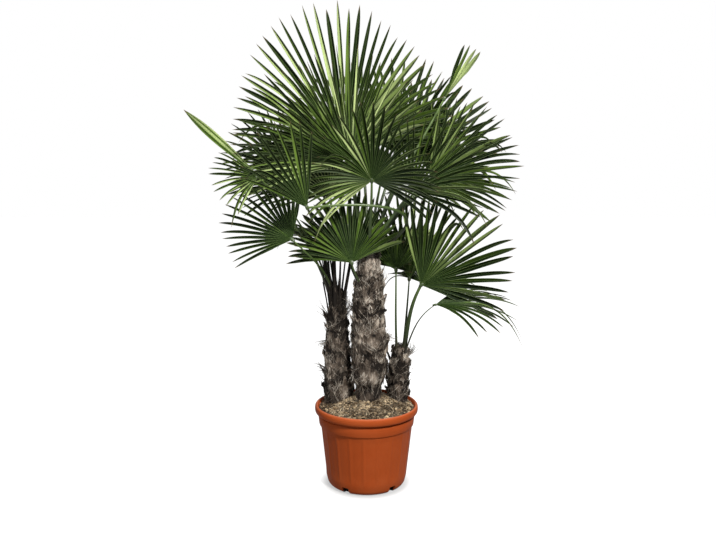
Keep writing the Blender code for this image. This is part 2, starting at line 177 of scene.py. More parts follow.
FIBRES = {  # name, darkest, middle and lightest colour, and roughness
    "fibre": (
        "trunk fibre", (0.012, 0.009, 0.007), (0.125, 0.098, 0.076), (0.420, 0.360, 0.300), 0.80,
    ),
    "thread": (
        "loose thread", (0.030, 0.023, 0.017), (0.215, 0.180, 0.147), (0.580, 0.530, 0.460), 0.72,
    ),
    "chip": (
        "bark chip", (0.026, 0.016, 0.008), (0.170, 0.115, 0.064), (0.500, 0.385, 0.240), 0.82,
    ),
    "straw": (
        "dry straw", (0.026, 0.018, 0.010), (0.190, 0.140, 0.088), (0.560, 0.455, 0.310), 0.78,
    ),
}

# Leaves
LEAF_SEED = 300
TIP_SPACING = 0.056
SEGMENT_DEG_RANGE = (4.6, 7.2)
FEWEST_SEGMENTS = 6
SEGMENT_TONES = (-0.42, -0.34, -0.24, -0.06, 0.08, 0.20, 0.38)
SEGMENT_ASIDE = 0.010
SEGMENT_LONGER = (-0.030, 0.008)
SEGMENT_SINK = 0.03
SEGMENT_LIMP_SINK = 0.30
SEGMENT_ROLL = 0.22
CUPPING = 0.12
OUTER_SHORTER = 0.26
OUTER_ANGLE = 0.7
BLADE_ROWS = 20
BLADE_THICKNESS = 0.0009
HUB_RADIUS = 0.013
HUB_SIZE = (0.009, 0.014, 0.0045)
STALK_WIDE = 0.0078
STALK_NARROW = 0.0040
STALK_SECTIONS = 22
SIDE_TRUNK_GIRTH = 0.72
LEAF_DEFAULTS = {
    "leave": None, "arrive": None,     # points that steer a bent stalk
    "fold": 0.75,                      # each segment's valley as a share of its half width
    "jitter": 1.5,                     # how untidy the segments are
    "shut": 0.0,                       # how far a young fan closes again towards its tip
    "slit_rows": (5, 6, 7, 7, 8, 9),   # rows of the blade from which its segments may part
    "girth": 1.0,                      # widens the stalk
    "fullness": 1.0,                   # widens the free part of the segments
    "side_tone": 0.0,                  # painted light on one half of the fan and painted shade on the other
    "smooth": 0.0,                     # hides the pleats of a leaf that has not opened
    "pleats": 0,                       # how many segments, where the size doesn't say
}


def leaf(name, trunk, hub, tip, faces, spread, droop, tone, **special):
    """One leaf: where its blade starts, where its middle segment ends, and how it is turned.

    faces is the azimuth and elevation in degrees that the upper side looks towards, spread is
    the angle in degrees from the middle segment to the outermost one, droop is how far the tips
    sink as a share of their reach, and tone runs from grey-green to yellow-green, partly as painted
    shade and light.
    """
    item = {**LEAF_DEFAULTS, **special}
    hub, tip = Vector(hub), Vector(tip)
    reach = (tip - hub).length
    along = (tip - hub).normalized()
    azimuth, elevation = (math.radians(value) for value in faces)
    look = Vector((
        math.cos(elevation) * math.cos(azimuth), math.cos(elevation) * math.sin(azimuth),
        math.sin(elevation),
    ))
    normal = (look - along * look.dot(along)).normalized()
    closest, widest = SEGMENT_DEG_RANGE
    spacing = min(max(math.degrees(TIP_SPACING / reach), closest), widest)
    item.update({
        "name": name, "trunk": trunk, "hub": hub, "reach": reach, "along": along,
        "normal": normal, "left": normal.cross(along), "spread": math.radians(spread),
        "droop": droop, "tone": tone,
        "girth": item["girth"] * (1.0 if trunk == "main" else SIDE_TRUNK_GIRTH),
        "segments": item["pleats"] or max(FEWEST_SEGMENTS, round(2.0 * spread / spacing)),
    })
    return item


LEAVES = [
    leaf("leaf_top", "main", (-0.10, 0.10, 1.63), (-0.285, 0.22, 2.325), (-90, 5), 102, 0.05, 0.48,
         jitter=0.5, slit_rows=(4, 5, 6, 6), fullness=1.95),
    leaf("leaf_top_front", "main", (-0.07, -0.05, 1.56), (-0.09, -0.05, 2.10), (-75, 10), 62, 0.05,
         0.60, slit_rows=(3, 4, 5, 6), fullness=1.4),
    leaf("leaf_front", "main", (0.02, -0.18, 1.48), (0.00, -0.34, 1.86), (-90, 35), 124, 0.20, 0.46,
         slit_rows=(4, 5, 6, 6), fullness=1.45, side_tone=0.22),
    leaf("leaf_left_upper", "main", (-0.11, 0.02, 1.55), (-0.56, -0.10, 1.92), (-115, 20), 52, 0.12,
         0.46),
    # painted shade: the low tone of this leaf stands for the shade it lies in
    leaf("leaf_left_shaded", "main", (-0.26, -0.30, 1.37), (-0.455, -0.36, 1.735), (-70, 10), 36,
         0.12, 0.16, leave=(0.30, -0.10, 1.30), arrive=(0.20, -0.33, 1.42), slit_rows=(4, 5, 6, 6),
         fullness=1.5),
    leaf("leaf_left_far", "left", (-0.49, -0.15, 1.495), (-0.67, -0.37, 1.50), (-35, 25), 40, 0.10,
         0.50, slit_rows=(4, 5, 6), fullness=1.4),
    leaf("leaf_left_middle", "main", (-0.30, 0.06, 1.45), (-0.66, 0.02, 1.66), (-110, 20), 34, 0.12,
         0.42),
    leaf("leaf_left_low", "left", (-0.335, -0.20, 1.22), (-0.63, -0.13, 1.42), (-90, 30), 65, 0.10,
         0.20, slit_rows=(5, 6, 7), fullness=1.4),
    leaf("leaf_front_low", "main", (-0.085, 0.065, 1.095), (-0.12, 0.36, 1.40), (-72, 45), 100,
         0.10, 0.50, slit_rows=(7, 8, 9, 10), fullness=1.4),
    leaf("leaf_centre_low", "main", (-0.07, -0.09, 1.10), (-0.13, 0.00, 1.46), (-90, 22), 75, 0.08,
         0.34, slit_rows=(7, 8, 9, 10), fullness=1.5, girth=0.6),
    leaf("leaf_right_inner", "right", (0.14, 0.02, 1.05), (0.13, 0.06, 1.36), (-90, 0), 60, 0.05,
         0.36),
    leaf("leaf_right_inner_back", "right", (0.21, 0.12, 0.99), (0.24, 0.15, 1.46), (-90, 10), 36,
         0.05, 0.66, slit_rows=(7, 8, 9, 10)),
    leaf("leaf_right_low", "right", (0.25, -0.12, 1.00), (0.60, -0.22, 1.35), (-85, 20), 62, 0.08,
         0.34, girth=1.9, slit_rows=(4, 5, 6, 7), fullness=1.9),
    leaf("leaf_right_lowest", "right", (0.31, -0.18, 0.92), (0.70, -0.26, 1.00), (-80, 75), 52,
         0.30, 0.10),
    leaf("leaf_right", "main", (0.29, 0.00, 1.48), (0.70, -0.05, 1.68), (-70, 20), 60, 0.08, 0.34,
         slit_rows=(3, 3, 4, 5), fullness=2.05),
    leaf("leaf_right_middle", "main", (0.20, -0.12, 1.43), (0.47, -0.30, 1.72), (-75, 25), 65, 0.10,
         0.42, slit_rows=(3, 3, 4, 5), fullness=1.8),
    leaf("leaf_right_behind", "main", (0.34, 0.14, 1.50), (0.70, 0.26, 1.78), (-70, 15), 60, 0.10,
         0.26, slit_rows=(3, 3, 4, 5), fullness=1.95),
    leaf("leaf_right_upper", "main", (0.21, 0.22, 1.57), (0.57, 0.38, 1.93), (-110, 10), 60, 0.05,
         0.22, fullness=1.8),
    leaf("leaf_young_folded", "main", (0.36, 0.05, 1.85), (0.49, 0.05, 2.09), (-90, 0), 12, 0.0,
         0.80, fold=0.6, jitter=1.0, slit_rows=(5, 7, 9), fullness=2.2, side_tone=-0.42, smooth=0.4,
         pleats=4),
    leaf("leaf_upper_back", "main", (0.14, 0.18, 1.60), (0.24, 0.34, 2.09), (-100, 10), 70, 0.05,
         0.26, fullness=1.2),
    # painted light: the high tone of this leaf stands for light shining through it from behind
    leaf("leaf_left_back", "left", (-0.18, 0.25, 1.40), (-0.30, 0.50, 1.76), (-90, 20), 92, 0.10,
         1.05),
    leaf("leaf_left_high", "left", (-0.38, 0.15, 1.52), (-0.67, 0.20, 1.76), (-110, 20), 65, 0.12,
         0.34, slit_rows=(4, 5, 6), fullness=1.3),
    leaf("leaf_left_spear", "left", (-0.50, -0.05, 1.50), (-0.845, 0.00, 1.80), (-90, 0), 6, 0.0,
         0.62, fold=0.12, jitter=0.0, shut=1.0, slit_rows=(BLADE_ROWS + 1,), smooth=1.0),
    leaf("leaf_top_back", "main", (-0.02, 0.26, 1.66), (-0.06, 0.60, 2.12), (-90, 20), 85, 0.10,
         0.36),
    leaf("leaf_back_high", "main", (0.08, 0.36, 1.48), (0.16, 0.76, 1.80), (-90, 60), 95, 0.20,
         0.46),
    leaf("leaf_back_right", "main", (0.28, 0.28, 1.40), (0.60, 0.52, 1.52), (0, 85), 95, 0.25,
         0.44),
    leaf("leaf_back_left", "main", (-0.25, 0.30, 1.38), (-0.50, 0.64, 1.50), (0, 85), 95, 0.25,
         0.44),
    leaf("leaf_left_outer", "left", (-0.36, 0.34, 1.44), (-0.62, 0.58, 1.72), (-150, 30), 70, 0.10,
         0.40),
    leaf("leaf_right_outer", "main", (0.34, 0.38, 1.46), (0.58, 0.66, 1.72), (-30, 40), 70, 0.10,
         0.40),
    leaf("leaf_left_low_back", "left", (-0.22, 0.30, 1.17), (-0.42, 0.56, 1.26), (0, 80), 90, 0.20,
         0.42),
    leaf("leaf_right_low_back", "right", (0.28, 0.25, 0.95), (0.50, 0.52, 1.02), (0, 80), 90, 0.25,
         0.42),
    leaf("leaf_back_low", "main", (0.04, 0.40, 1.20), (0.02, 0.80, 1.17), (0, 85), 90, 0.30, 0.42),
]


# ---- materials

class Nodes:
    """Short calls for the nodes of one material or group."""

    def __init__(self, tree):
        self.tree = tree

    def put(self, place, value):
        """Links a socket to an input, or writes a value there; a colour leaves out its alpha."""
        if isinstance(value, bpy.types.NodeSocket):
            self.tree.links.new(value, place)
        elif place.type == "RGBA":
            place.default_value = (*value, 1.0)
        else:
            place.default_value = value

    def add(self, kind, inputs=None, **settings):
        made = self.tree.nodes.new(f"ShaderNode{kind}")
        for name, value in settings.items():
            setattr(made, name, value)
        for name, value in (inputs or {}).items():
            self.put(made.inputs[name], value)
        return made

    def math(self, operation, *values, clamp=False):
        made = self.add("Math", dict(enumerate(values)), operation=operation, use_clamp=clamp)
        return made.outputs[0]

    def times(self, first, second):
        return self.math("MULTIPLY", first, second)

    def line(self, value, slope, start):
        return self.math("MULTIPLY_ADD", value, slope, start)

    def mask(self, value, slope, start):
        """A straight line, held between 0 and 1."""
        return self.math("MULTIPLY_ADD", value, slope, start, clamp=True)

    def mix(self, factor, first, second, mode="MIX"):
        made = self.add("Mix", {0: factor, 6: first, 7: second}, data_type="RGBA", blend_type=mode)
        return made.outputs[2]

    def scaled(self, colour, value):
        """A colour made brighter or darker by a value."""
        grey = self.add("CombineColor", {"Red": value, "Green": value, "Blue": value})
        return self.mix(1.0, colour, grey.outputs["Color"], "MULTIPLY")

    def ramp(self, factor, *stops):
        """A colour ramp through (place, colour) stops."""
        made = self.add("ValToRGB", {"Fac": factor})
        points = made.color_ramp.elements
        while len(points) < len(stops):
            points.new(0.5)
        for point, (place, colour) in zip(points, stops):
            point.position = place
            point.color = (*colour, 1.0)
        return made.outputs["Color"]

    def cloud(self, where, scale, detail, roughness=0.5):
        inputs = {"Vector": where, "Scale": scale, "Detail": detail, "Roughness": roughness}
        return self.add("TexNoise", inputs).outputs["Fac"]

    def where(self):
        return self.add("TexCoord").outputs["Object"]

    def height(self, where):
        return self.add("SeparateXYZ", {"Vector": where}).outputs["Z"]

    def length(self, where):
        return self.add("VectorMath", {0: where}, operation="LENGTH").outputs["Value"]

    def from_axis(self, where):
        """Distance from the upright axis through the middle of the pot."""
        flat = self.add("VectorMath", {0: where, 1: (1.0, 1.0, 0.0)}, operation="MULTIPLY")
        return self.length(flat.outputs["Vector"])

    def attribute(self, name):
        return self.add("Attribute", attribute_name=name).outputs["Fac"]

    def group(self, kind, **inputs):
        """The outputs of a shared group, placed here with its own values."""
        made = self.add("Group", node_tree=kind)
        for name, value in inputs.items():
            self.put(made.inputs[name], value)
        return made.outputs


class Group(Nodes):
    """A new shader node group: its inputs by name, a vector where the value is None."""

    def __init__(self, name, inputs, outputs):
        super().__init__(bpy.data.node_groups.new(name, "ShaderNodeTree"))
        sockets = self.tree.interface
        for socket, value in inputs.items():
            kind = "NodeSocketVector" if value is None else "NodeSocketFloat"
            new = sockets.new_socket(name=socket, in_out="INPUT", socket_type=kind)
            if value is not None:
                new.default_value = value
        for socket in outputs:
            sockets.new_socket(name=socket, in_out="OUTPUT", socket_type="NodeSocketFloat")
        self.given = self.tree.nodes.new("NodeGroupInput").outputs
        self.end = self.tree.nodes.new("NodeGroupOutput").inputs

    def closed(self, *values):
        """Links the group's outputs, in their order, and gives its tree."""
        for place, value in zip(self.end, values):
            self.put(place, value)
        return self.tree


class Finish(Nodes):
    """A new material with its Principled shader, which starts without metal."""

    def __init__(self, name):
        self.material = bpy.data.materials.new(name)
        self.material.use_nodes = True
        super().__init__(self.material.node_tree)
        self.shader = self.tree.nodes["Principled BSDF"]
        self.set("Metallic", 0.0)

    def set(self, name, value):
        self.put(self.shader.inputs[name], value)

    def set_surface(self, node, output):
        self.put(self.tree.nodes["Material Output"].inputs["Surface"], node.outputs[output])

    def bump(self, height, strength, distance):
        inputs = {"Height": height, "Strength": strength, "Distance": distance}
        self.set("Normal", self.add("Bump", inputs).outputs["Normal"])


def make_fibre_group():
    """Matted fibres: fine streaks in two crossing directions over broad patches."""
    made = Group(
        "matted fibres", {"Vector": None, "Fineness": 1.0, "Patches": 9.0},
        ("Mask", "Patch", "Height"),
    )
    streaks = []
    for turn, stretch in ((0.5, (90.0, 90.0, 9.0)), (-0.6, (70.0, 70.0, 12.0))):
        placed = made.add("Mapping", {
            "Vector": made.given["Vector"], "Rotation": (turn * 0.5, turn, 0.0), "Scale": stretch,
        })
        streaks.append(made.cloud(placed.outputs["Vector"], made.given["Fineness"], 4.0, 0.6))
    crossed = made.math("MAXIMUM", *streaks)
    broad = made.cloud(made.given["Vector"], made.given["Patches"], 5.0, 0.62)
    return made.closed(made.mask(crossed, 2.6, -0.95), broad, crossed)


def make_vein_group():
    """Fine veins that run the length of a segment or stalk, from its own UV map."""
    made = Group("parallel veins", {"Vector": None, "Across": 14.0}, ("Mask",))
    across = made.add("CombineXYZ", {"X": made.given["Across"], "Y": 1.6, "Z": 1.0})
    scaled = made.add(
        "VectorMath", {0: made.given["Vector"], 1: across.outputs["Vector"]}, operation="MULTIPLY",
    )
    return made.closed(made.cloud(scaled.outputs["Vector"], 1.0, 3.0, 0.55))


def make_dust_group():
    """Dry dust and scuffs in soft patches, as many as Amount says."""
    made = Group("dust", {"Vector": None, "Amount": 0.3}, ("Mask",))
    spots = made.mask(made.cloud(made.given["Vector"], 11.0, 7.0, 0.68), 2.4, -1.05)
    return made.closed(made.times(spots, made.given["Amount"]))


def leaf_material(veins):
    """Green blade: each segment has a pale midrib, fine veins, a brown tip and its own tone; shade
    and sheen are painted.
    """
    made = Finish("palm leaf green")
    place = made.add("UVMap", uv_map="segment").outputs["UV"]
    across, share = made.add("SeparateXYZ", {"Vector": place}).outputs[:2]
    smooth = made.attribute("smooth")
    crisp = made.math("SUBTRACT", 1.0, smooth)
    cloud = made.line(made.cloud(made.where(), 7.0, 3.0), 0.22, -0.11)
    varied = made.math("ADD", cloud, made.attribute("tone"), clamp=True)
    # the palest stops of this ramp are painted sheen on the brightest segments
    green = made.ramp(
        varied, (0.0, (0.006, 0.014, 0.003)), (0.22, (0.019, 0.038, 0.004)),
        (0.45, (0.068, 0.122, 0.014)), (0.62, (0.145, 0.222, 0.042)),
        (0.80, (0.310, 0.400, 0.150)), (1.0, (0.500, 0.600, 0.260)),
    )
    lines = made.group(veins, Vector=place, Across=16.0)["Mask"]
    lines = made.line(smooth, made.math("SUBTRACT", 0.5, lines), lines)
    green = made.scaled(green, made.line(lines, 1.5, 0.25))
    middle = made.math("ABSOLUTE", made.math("SUBTRACT", across, 0.5))
    # painted shade: one half of each fold is darkened as if turned from the light
    shaded_half = made.times(made.mask(across, -5.0, 3.0), made.mask(smooth, -0.85, 0.92))
    near_hub = made.mask(share, -1.9, 1.0)
    rib = made.times(made.mask(middle, -12.0, 1.0), crisp)
    edge = made.times(made.mask(middle, 16.0, -7.0), crisp)
    outer = made.mask(share, 2.4, -1.45)
    past_tip = made.math("SUBTRACT", share, made.line(lines, 0.07, 0.90))
    layers = (
        (shaded_half, (0.002, 0.006, 0.001)),
        # painted shade: the blade darkens towards the hub, deep in the crown
        (made.times(near_hub, 0.85), (0.010, 0.028, 0.003)),
        (made.times(rib, made.line(near_hub, 0.45, 0.30)), (0.230, 0.330, 0.120)),
        # paler segment edges: partly their own colour, partly a painted highlight
        (made.times(edge, 0.42), (0.300, 0.390, 0.160)),
        (made.times(outer, 0.65), (0.022, 0.034, 0.011)),
        (made.math("MULTIPLY", past_tip, 22.0, clamp=True), (0.110, 0.075, 0.040)),
    )
    for cover, colour in layers:
        green = made.mix(cover, green, colour)
    made.set("Base Color", green)
    made.set("Roughness", made.line(lines, 0.28, 0.30))
    made.set("Specular IOR Level", 0.12)
    made.bump(lines, 0.35, 0.0008)
    glow = made.mix(0.10, green, (0.340, 0.500, 0.040))
    through = made.add("BsdfTranslucent", {"Color": glow})
    made.set_surface(made.add("MixShader", {
        0: 0.22, 1: made.shader.outputs["BSDF"], 2: through.outputs["BSDF"],
    }), "Shader")
    return made.material


def stalk_material(veins):
    """Leaf stalk: smooth mid green, paler where it meets the blade, brown fibres at its foot."""
    made = Finish("leaf stalk")
    place = made.add("UVMap", uv_map="segment").outputs["UV"]
    lines = made.group(veins, Vector=place, Across=9.0)["Mask"]
    colour = made.ramp(
        made.add("SeparateXYZ", {"Vector": place}).outputs["Y"],
        (0.0, (0.024, 0.017, 0.010)), (0.10, (0.026, 0.027, 0.011)),
        (0.22, (0.028, 0.045, 0.012)), (0.60, (0.036, 0.062, 0.013)),
        (1.0, (0.070, 0.116, 0.024)),
    )
    made.set("Base Color", made.scaled(colour, made.line(lines, 0.8, 0.6)))
    made.set("Roughness", made.line(lines, 0.25, 0.28))
    made.bump(lines, 0.3, 0.0008)
    return made.material


def fibre_material(fibres, name, darkest, middle, lightest, rough):
    """Dry plant fibre from painted shade in its gaps to bleached threads, shifted by each thread's
    own tone.
    """
    made = Finish(name)
    mat = made.group(fibres, Vector=made.where(), Fineness=1.0, Patches=14.0)
    level = made.line(mat["Patch"], 2.1, made.times(mat["Mask"], 0.62))
    shift = made.line(made.attribute("tone"), 0.85, -1.45)
    # painted shade: the darkest end of the ramp stands for the shade in the gaps between fibres
    made.set("Base Color", made.ramp(
        made.math("ADD", level, shift, clamp=True), (0.0, darkest), (0.42, middle),
        (0.78, lightest), (1.0, tuple(v * 1.25 for v in lightest)),
    ))
    made.set("Roughness", made.line(mat["Mask"], 0.12, rough))
    made.set("Specular IOR Level", 0.2)
    made.bump(mat["Height"], 0.9, 0.004)
    return made.material


def pot_material(dust):
    """Moulded terracotta-coloured plastic with a fine satin grain and a little dry soil dust."""
    made = Finish("terracotta plastic")
    where = made.where()
    height = made.height(where)
    cloud = made.cloud(where, 5.0, 4.0)
    colour = made.ramp(
        cloud, (0.25, (0.300, 0.052, 0.010)), (0.5, (0.325, 0.058, 0.012)),
        (0.8, (0.355, 0.066, 0.015)),
    )
    amount = made.line(made.mask(height, -7.0, 0.75), 0.30, 0.06)
    dusty = made.group(dust, Vector=where, Amount=amount)["Mask"]
    # painted highlight: the crest of the rim is paler, where the lamp catches it
    painted_rim_highlight = made.mask(height, 220.0, -86.3)
    # painted shade: near black inside the drain notches and under the pot's foot
    inside = made.mask(made.from_axis(where), -300.0, 53.4)
    painted_notch_shade = made.times(inside, made.mask(height, -100.0, 5.0))
    layers = (
        (dusty, (0.340, 0.140, 0.060)),
        (made.times(painted_rim_highlight, 0.28), (0.480, 0.190, 0.110)),
        (painted_notch_shade, (0.012, 0.005, 0.003)),
    )
    for cover, layer in layers:
        colour = made.mix(cover, colour, layer)
    made.set("Base Color", colour)
    made.set("Roughness", made.line(cloud, 0.20, 0.38))
    made.set("Specular IOR Level", 0.4)
    made.set("IOR", 1.18)
    made.bump(made.cloud(where, 420.0, 2.0), 0.12, 0.0006)
    return made.material


def soil_material(fibres):
    """Dark damp peat between the chips, with paler crumbs, and painted shade along the rim."""
    made = Finish("potting soil")
    where = made.where()
    crumbs = made.cloud(where, 90.0, 6.0, 0.7)
    mat = made.group(fibres, Vector=where, Fineness=1.4, Patches=24.0)
    level = made.times(crumbs, made.math("ADD", mat["Patch"], 0.5))
    level = made.times(level, made.mask(made.height(where), 40.0, -14.0))
    # painted shade: the soil darkens towards the pot wall, where the rim shades it
    level = made.times(level, made.mask(made.from_axis(where), -40.0, 9.2))
    made.set("Base Color", made.ramp(
        level, (0.25, (0.012, 0.009, 0.006)), (0.50, (0.060, 0.044, 0.028)),
        (0.80, (0.230, 0.180, 0.115)),
    ))
    made.set("Roughness", made.line(crumbs, 0.1, 0.86))
    made.bump(crumbs, 1.0, 0.006)
    return made.material


# ---- shapes by hand

def deselect_all():
    if bpy.context.object and bpy.context.object.mode != "OBJECT":
        bpy.ops.object.mode_set(mode="OBJECT")
    bpy.ops.object.select_all(action="DESELECT")


def activate(piece):
    deselect_all()
    piece.select_set(True)
    bpy.context.view_layer.objects.active = piece


def in_edit_mode(piece, *steps):
    """Runs edit-mode steps on everything of one piece."""
    activate(piece)
    bpy.ops.object.mode_set(mode="EDIT")
    bpy.ops.mesh.select_all(action="SELECT")
    for step in steps:
        step()
    bpy.ops.object.mode_set(mode="OBJECT")


def cut_rows(piece, count, low=-0.5):
    """Cuts an upright shape one metre tall, which starts at low, into equal rows."""
    for row in range(1, count):
        in_edit_mode(piece, lambda: bpy.ops.mesh.bisect(
            plane_co=(0, 0, row / count + low), plane_no=(0, 0, 1),
        ))


def face_outwards():
    bpy.ops.mesh.normals_make_consistent(inside=False)


def finished(piece, finish, smooth_deg=None, outwards=False):
    """Gives a piece its material, and smooth shading but for edges sharper than smooth_deg."""
    if outwards:
        in_edit_mode(piece, face_outwards)
    activate(piece)
    if smooth_deg == ALL_SMOOTH:
        bpy.ops.object.shade_smooth()
    elif smooth_deg:
        bpy.ops.object.shade_smooth_by_angle(angle=math.radians(smooth_deg))
    piece.data.materials.append(finish)
    return piece


def apply_modifier(piece, name, kind, **settings):
    activate(piece)
    made = piece.modifiers.new(name, kind)
    for setting, value in settings.items():
        setattr(made, setting, value)
    bpy.ops.object.modifier_apply(modifier=made.name)


def joined(pieces, name):
    """One piece from several."""
    activate(pieces[0])
    for piece in pieces:
        piece.select_set(True)
    bpy.ops.object.join()
    made = bpy.context.object
    made.name = name
    made.data.name = name
    return made


def new_piece(name, corners, edges=(), faces=()):
    mesh = bpy.data.meshes.new(name)
    mesh.from_pydata([tuple(corner) for corner in corners], edges, faces)
    mesh.update()
    made = bpy.data.objects.new(name, mesh)
    bpy.context.collection.objects.link(made)
    return made


def taken_apart(piece):
    """The corners and faces of a piece, to be copied many times; the piece itself goes."""
    corners = [corner.co.copy() for corner in piece.data.vertices]
    faces = [tuple(face.vertices) for face in piece.data.polygons]
    bpy.data.objects.remove(piece)
    return corners, faces


def set_tone(piece, values, name="tone"):
    """Writes each corner's tone, or another value, which the piece's material reads."""
    layer = piece.data.attributes.new(name, "FLOAT", "POINT")
    layer.data.foreach_set("value", values)


def set_even_tone(piece, tone):
    set_tone(piece, [tone] * len(piece.data.vertices))


def set_segment_uv(mesh, place_of):
    """Writes where each corner of each face lies across and along its segment."""
    layer = mesh.uv_layers.active or mesh.uv_layers.new(name="segment")
    layer.name = "segment"
    for face in mesh.polygons:
        for loop in face.loop_indices:
            corner = mesh.loops[loop].vertex_index
            layer.data[loop].uv = place_of(face.index, corner, layer.data[loop].uv[0])


def turned(name, profile, sides):
    """A closed shape spun round the upright axis from (radius, height) points."""
    outline = [(radius, 0.0, height) for radius, height in profile]
    made = new_piece(name, outline, edges=[(n, n + 1) for n in range(len(outline) - 1)])
    in_edit_mode(
        made,
        lambda: bpy.ops.mesh.spin(
            steps=sides, angle=math.tau, center=(0, 0, 0), axis=(0, 0, 1), use_auto_merge=True,
        ),
        lambda: bpy.ops.mesh.select_all(action="SELECT"),
        lambda: bpy.ops.mesh.remove_doubles(threshold=0.00002),
        face_outwards,
    )
    return made


def arc(centre, radius, start_deg, end_deg, steps):
    """Points of an arc in the (radius, height) plane."""
    points = []
    for step in range(steps + 1):
        angle = math.radians(start_deg + (end_deg - start_deg) * step / steps)
        points.append((centre[0] + radius * math.cos(angle), centre[1] + radius * math.sin(angle)))
    return points


def smooth_step(low, high, value):
    share = min(1.0, max(0.0, (value - low) / (high - low)))
    return share * share * (3.0 - 2.0 * share)


def outwards_at(angle):
    return Vector((math.cos(angle), math.sin(angle), 0.0))


# ---- pot

def wall_radius(height):
    return BASE_RADIUS + (WALL_TOP_RADIUS - BASE_RADIUS) * height / POT_HEIGHT


def sink_panels(pot, band_bottom):
    """Presses shallow panels with arched tops into the wall, between its foot and the band."""
    panel = math.tau / PANEL_COUNT
    for corner in pot.data.vertices:
        x, y, height = corner.co
        radius = math.hypot(x, y)
        on_inner_side = radius < wall_radius(height) - 0.002
        if on_inner_side or not PANEL_FOOT < height < band_bottom - 0.003:
            continue
        turn = (math.atan2(y, x) + math.radians(PANEL_TURN_DEG)) / panel
        side = abs(turn - math.floor(turn) - 0.5) * 2.0
        arch_top = band_bottom - 0.006 - PANEL_ARCH * side ** 3
        sunk = (1.0 - smooth_step(0.74, 0.93, side)) * smooth_step(PANEL_FOOT, PANEL_FULL, height)
        sunk *= 1.0 - smooth_step(arch_top - PANEL_FADE, arch_top, height)
        change = 1.0 - PANEL_DEPTH * sunk / radius
        corner.co.x *= change
        corner.co.y *= change


def drain_cutter():
    """Blocks round the foot, which leave the drain notches."""
    reach = BASE_RADIUS - DRAIN_INSET
    blocks = []
    for number in range(DRAIN_COUNT):
        angle = math.radians(DRAIN_FIRST_DEG + number * 360.0 / DRAIN_COUNT)
        bpy.ops.mesh.primitive_cube_add(
            size=1.0, scale=DRAIN_SIZE, rotation=(0.0, math.radians(DRAIN_TILT_DEG), angle),
            location=(reach * math.cos(angle), reach * math.sin(angle), DRAIN_HEIGHT),
        )
        blocks.append(bpy.context.object)
    return joined(blocks, "drain_cutter")


def make_pot(finish):
    """Tapered wall with a rolled rim, a band under it, sunk panels and notches in its foot."""
    band_bottom = UNDER_RIM - BAND_HEIGHT
    band_radius = wall_radius(band_bottom)
    rim_radius = wall_radius(UNDER_RIM)
    undercut = UNDER_RIM - UNDERCUT
    foot = BASE_RADIUS - BASE_ROUNDING
    profile = [(0.0, 0.0), (foot * 0.5, 0.0), (foot, 0.0)]
    profile += arc((foot, BASE_ROUNDING), BASE_ROUNDING, -80, -12, 7)
    for height in [WALL_FOOT + WALL_ROW * row for row in range(WALL_ROWS)]:
        profile.append((wall_radius(height), height))
    profile += [
        (wall_radius(band_bottom - 0.009), band_bottom - 0.009),
        (band_radius, band_bottom - 0.001),
        (band_radius + BAND_DEPTH - 0.0008, band_bottom - 0.001),
        (band_radius + BAND_DEPTH, band_bottom + 0.001),
        (rim_radius + BAND_DEPTH * 0.8, undercut - 0.007),
        (rim_radius + BAND_DEPTH * 0.5, undercut - 0.002),
        (rim_radius - 0.001, undercut),
        (rim_radius - 0.001, UNDER_RIM + 0.001),
        *RIM_OUTLINE,
        (wall_radius(WALL_FOOT) - WALL, WALL_FOOT),
        (foot, FLOOR + 0.004),
        (foot - 0.010, FLOOR),
        (0.0, FLOOR),
    ]
    pot = turned("pot_body", profile, POT_SIDES)
    sink_panels(pot, band_bottom)
    cutter = drain_cutter()
    apply_modifier(
        pot, "drain notches", "BOOLEAN", operation="DIFFERENCE", solver="EXACT", object=cutter,
    )
    bpy.data.objects.remove(cutter)
    return finished(pot, finish, 38)


# ---- threads

def thread_pattern():
    """One thin three-sided thread, a metre long along Z, cut into sections so that it can bend."""
    bpy.ops.mesh.primitive_cone_add(
        vertices=3, radius1=1.0, radius2=0.25, depth=1.0, location=(0, 0, 0.5),
        end_fill_type="NGON",
    )
    pattern = bpy.context.object
    activate(pattern)
    bpy.ops.object.transform_apply(location=True, rotation=True, scale=True)
    cut_rows(pattern, THREAD_SECTIONS, low=0.0)
    return taken_apart(pattern)


def path_point(path, share):
    """A point on a smooth line through the path's points, and the line's heading there."""
    place = min(share, 0.9999) * (len(path) - 1)
    number = int(place)
    rest = place - number
    start, end = path[number], path[number + 1]
    enter = (end - path[max(0, number - 1)]) * 0.5
    leave = (path[min(len(path) - 1, number + 2)] - start) * 0.5
    square, cube = rest * rest, rest ** 3
    point = (
        start * (2 * cube - 3 * square + 1) + enter * (cube - 2 * square + rest)
        + end * (3 * square - 2 * cube) + leave * (cube - square)
    )
    heading = (
        start * (6 * square - 6 * rest) + enter * (3 * square - 4 * rest + 1)
        + end * (6 * rest - 6 * square) + leave * (3 * square - 2 * rest)
    )
    return point, heading.normalized()


class Heap:
    """Many small copies of patterns, gathered into one piece."""

    def __init__(self):
        self.corners = []
        self.faces = []
        self.tones = []

    def add(self, corners, faces, tone):
        start = len(self.corners)
        self.corners += corners
        self.faces += [tuple(start + corner for corner in face) for face in faces]
        self.tones += [tone] * len(corners)

    def add_thread(self, pattern, path, radius, tone):
        corners, faces = pattern
        frames = {}
        laid = []
        for corner in corners:
            share = round(corner.z, 4)
            if share not in frames:
                point, heading = path_point(path, share)
                across = UP if abs(heading.z) < 0.9 else Vector((1, 0, 0))
                side = heading.cross(across).normalized()
                frames[share] = (point, side, side.cross(heading))
            point, side, lift = frames[share]
            laid.append(point + (side * corner.x + lift * -corner.y) * radius)
        self.add(laid, faces, tone)

    def piece(self, name, finish):
        made = new_piece(name, self.corners, faces=self.faces)
        set_tone(made, self.tones)
        return finished(made, finish, outwards=True)


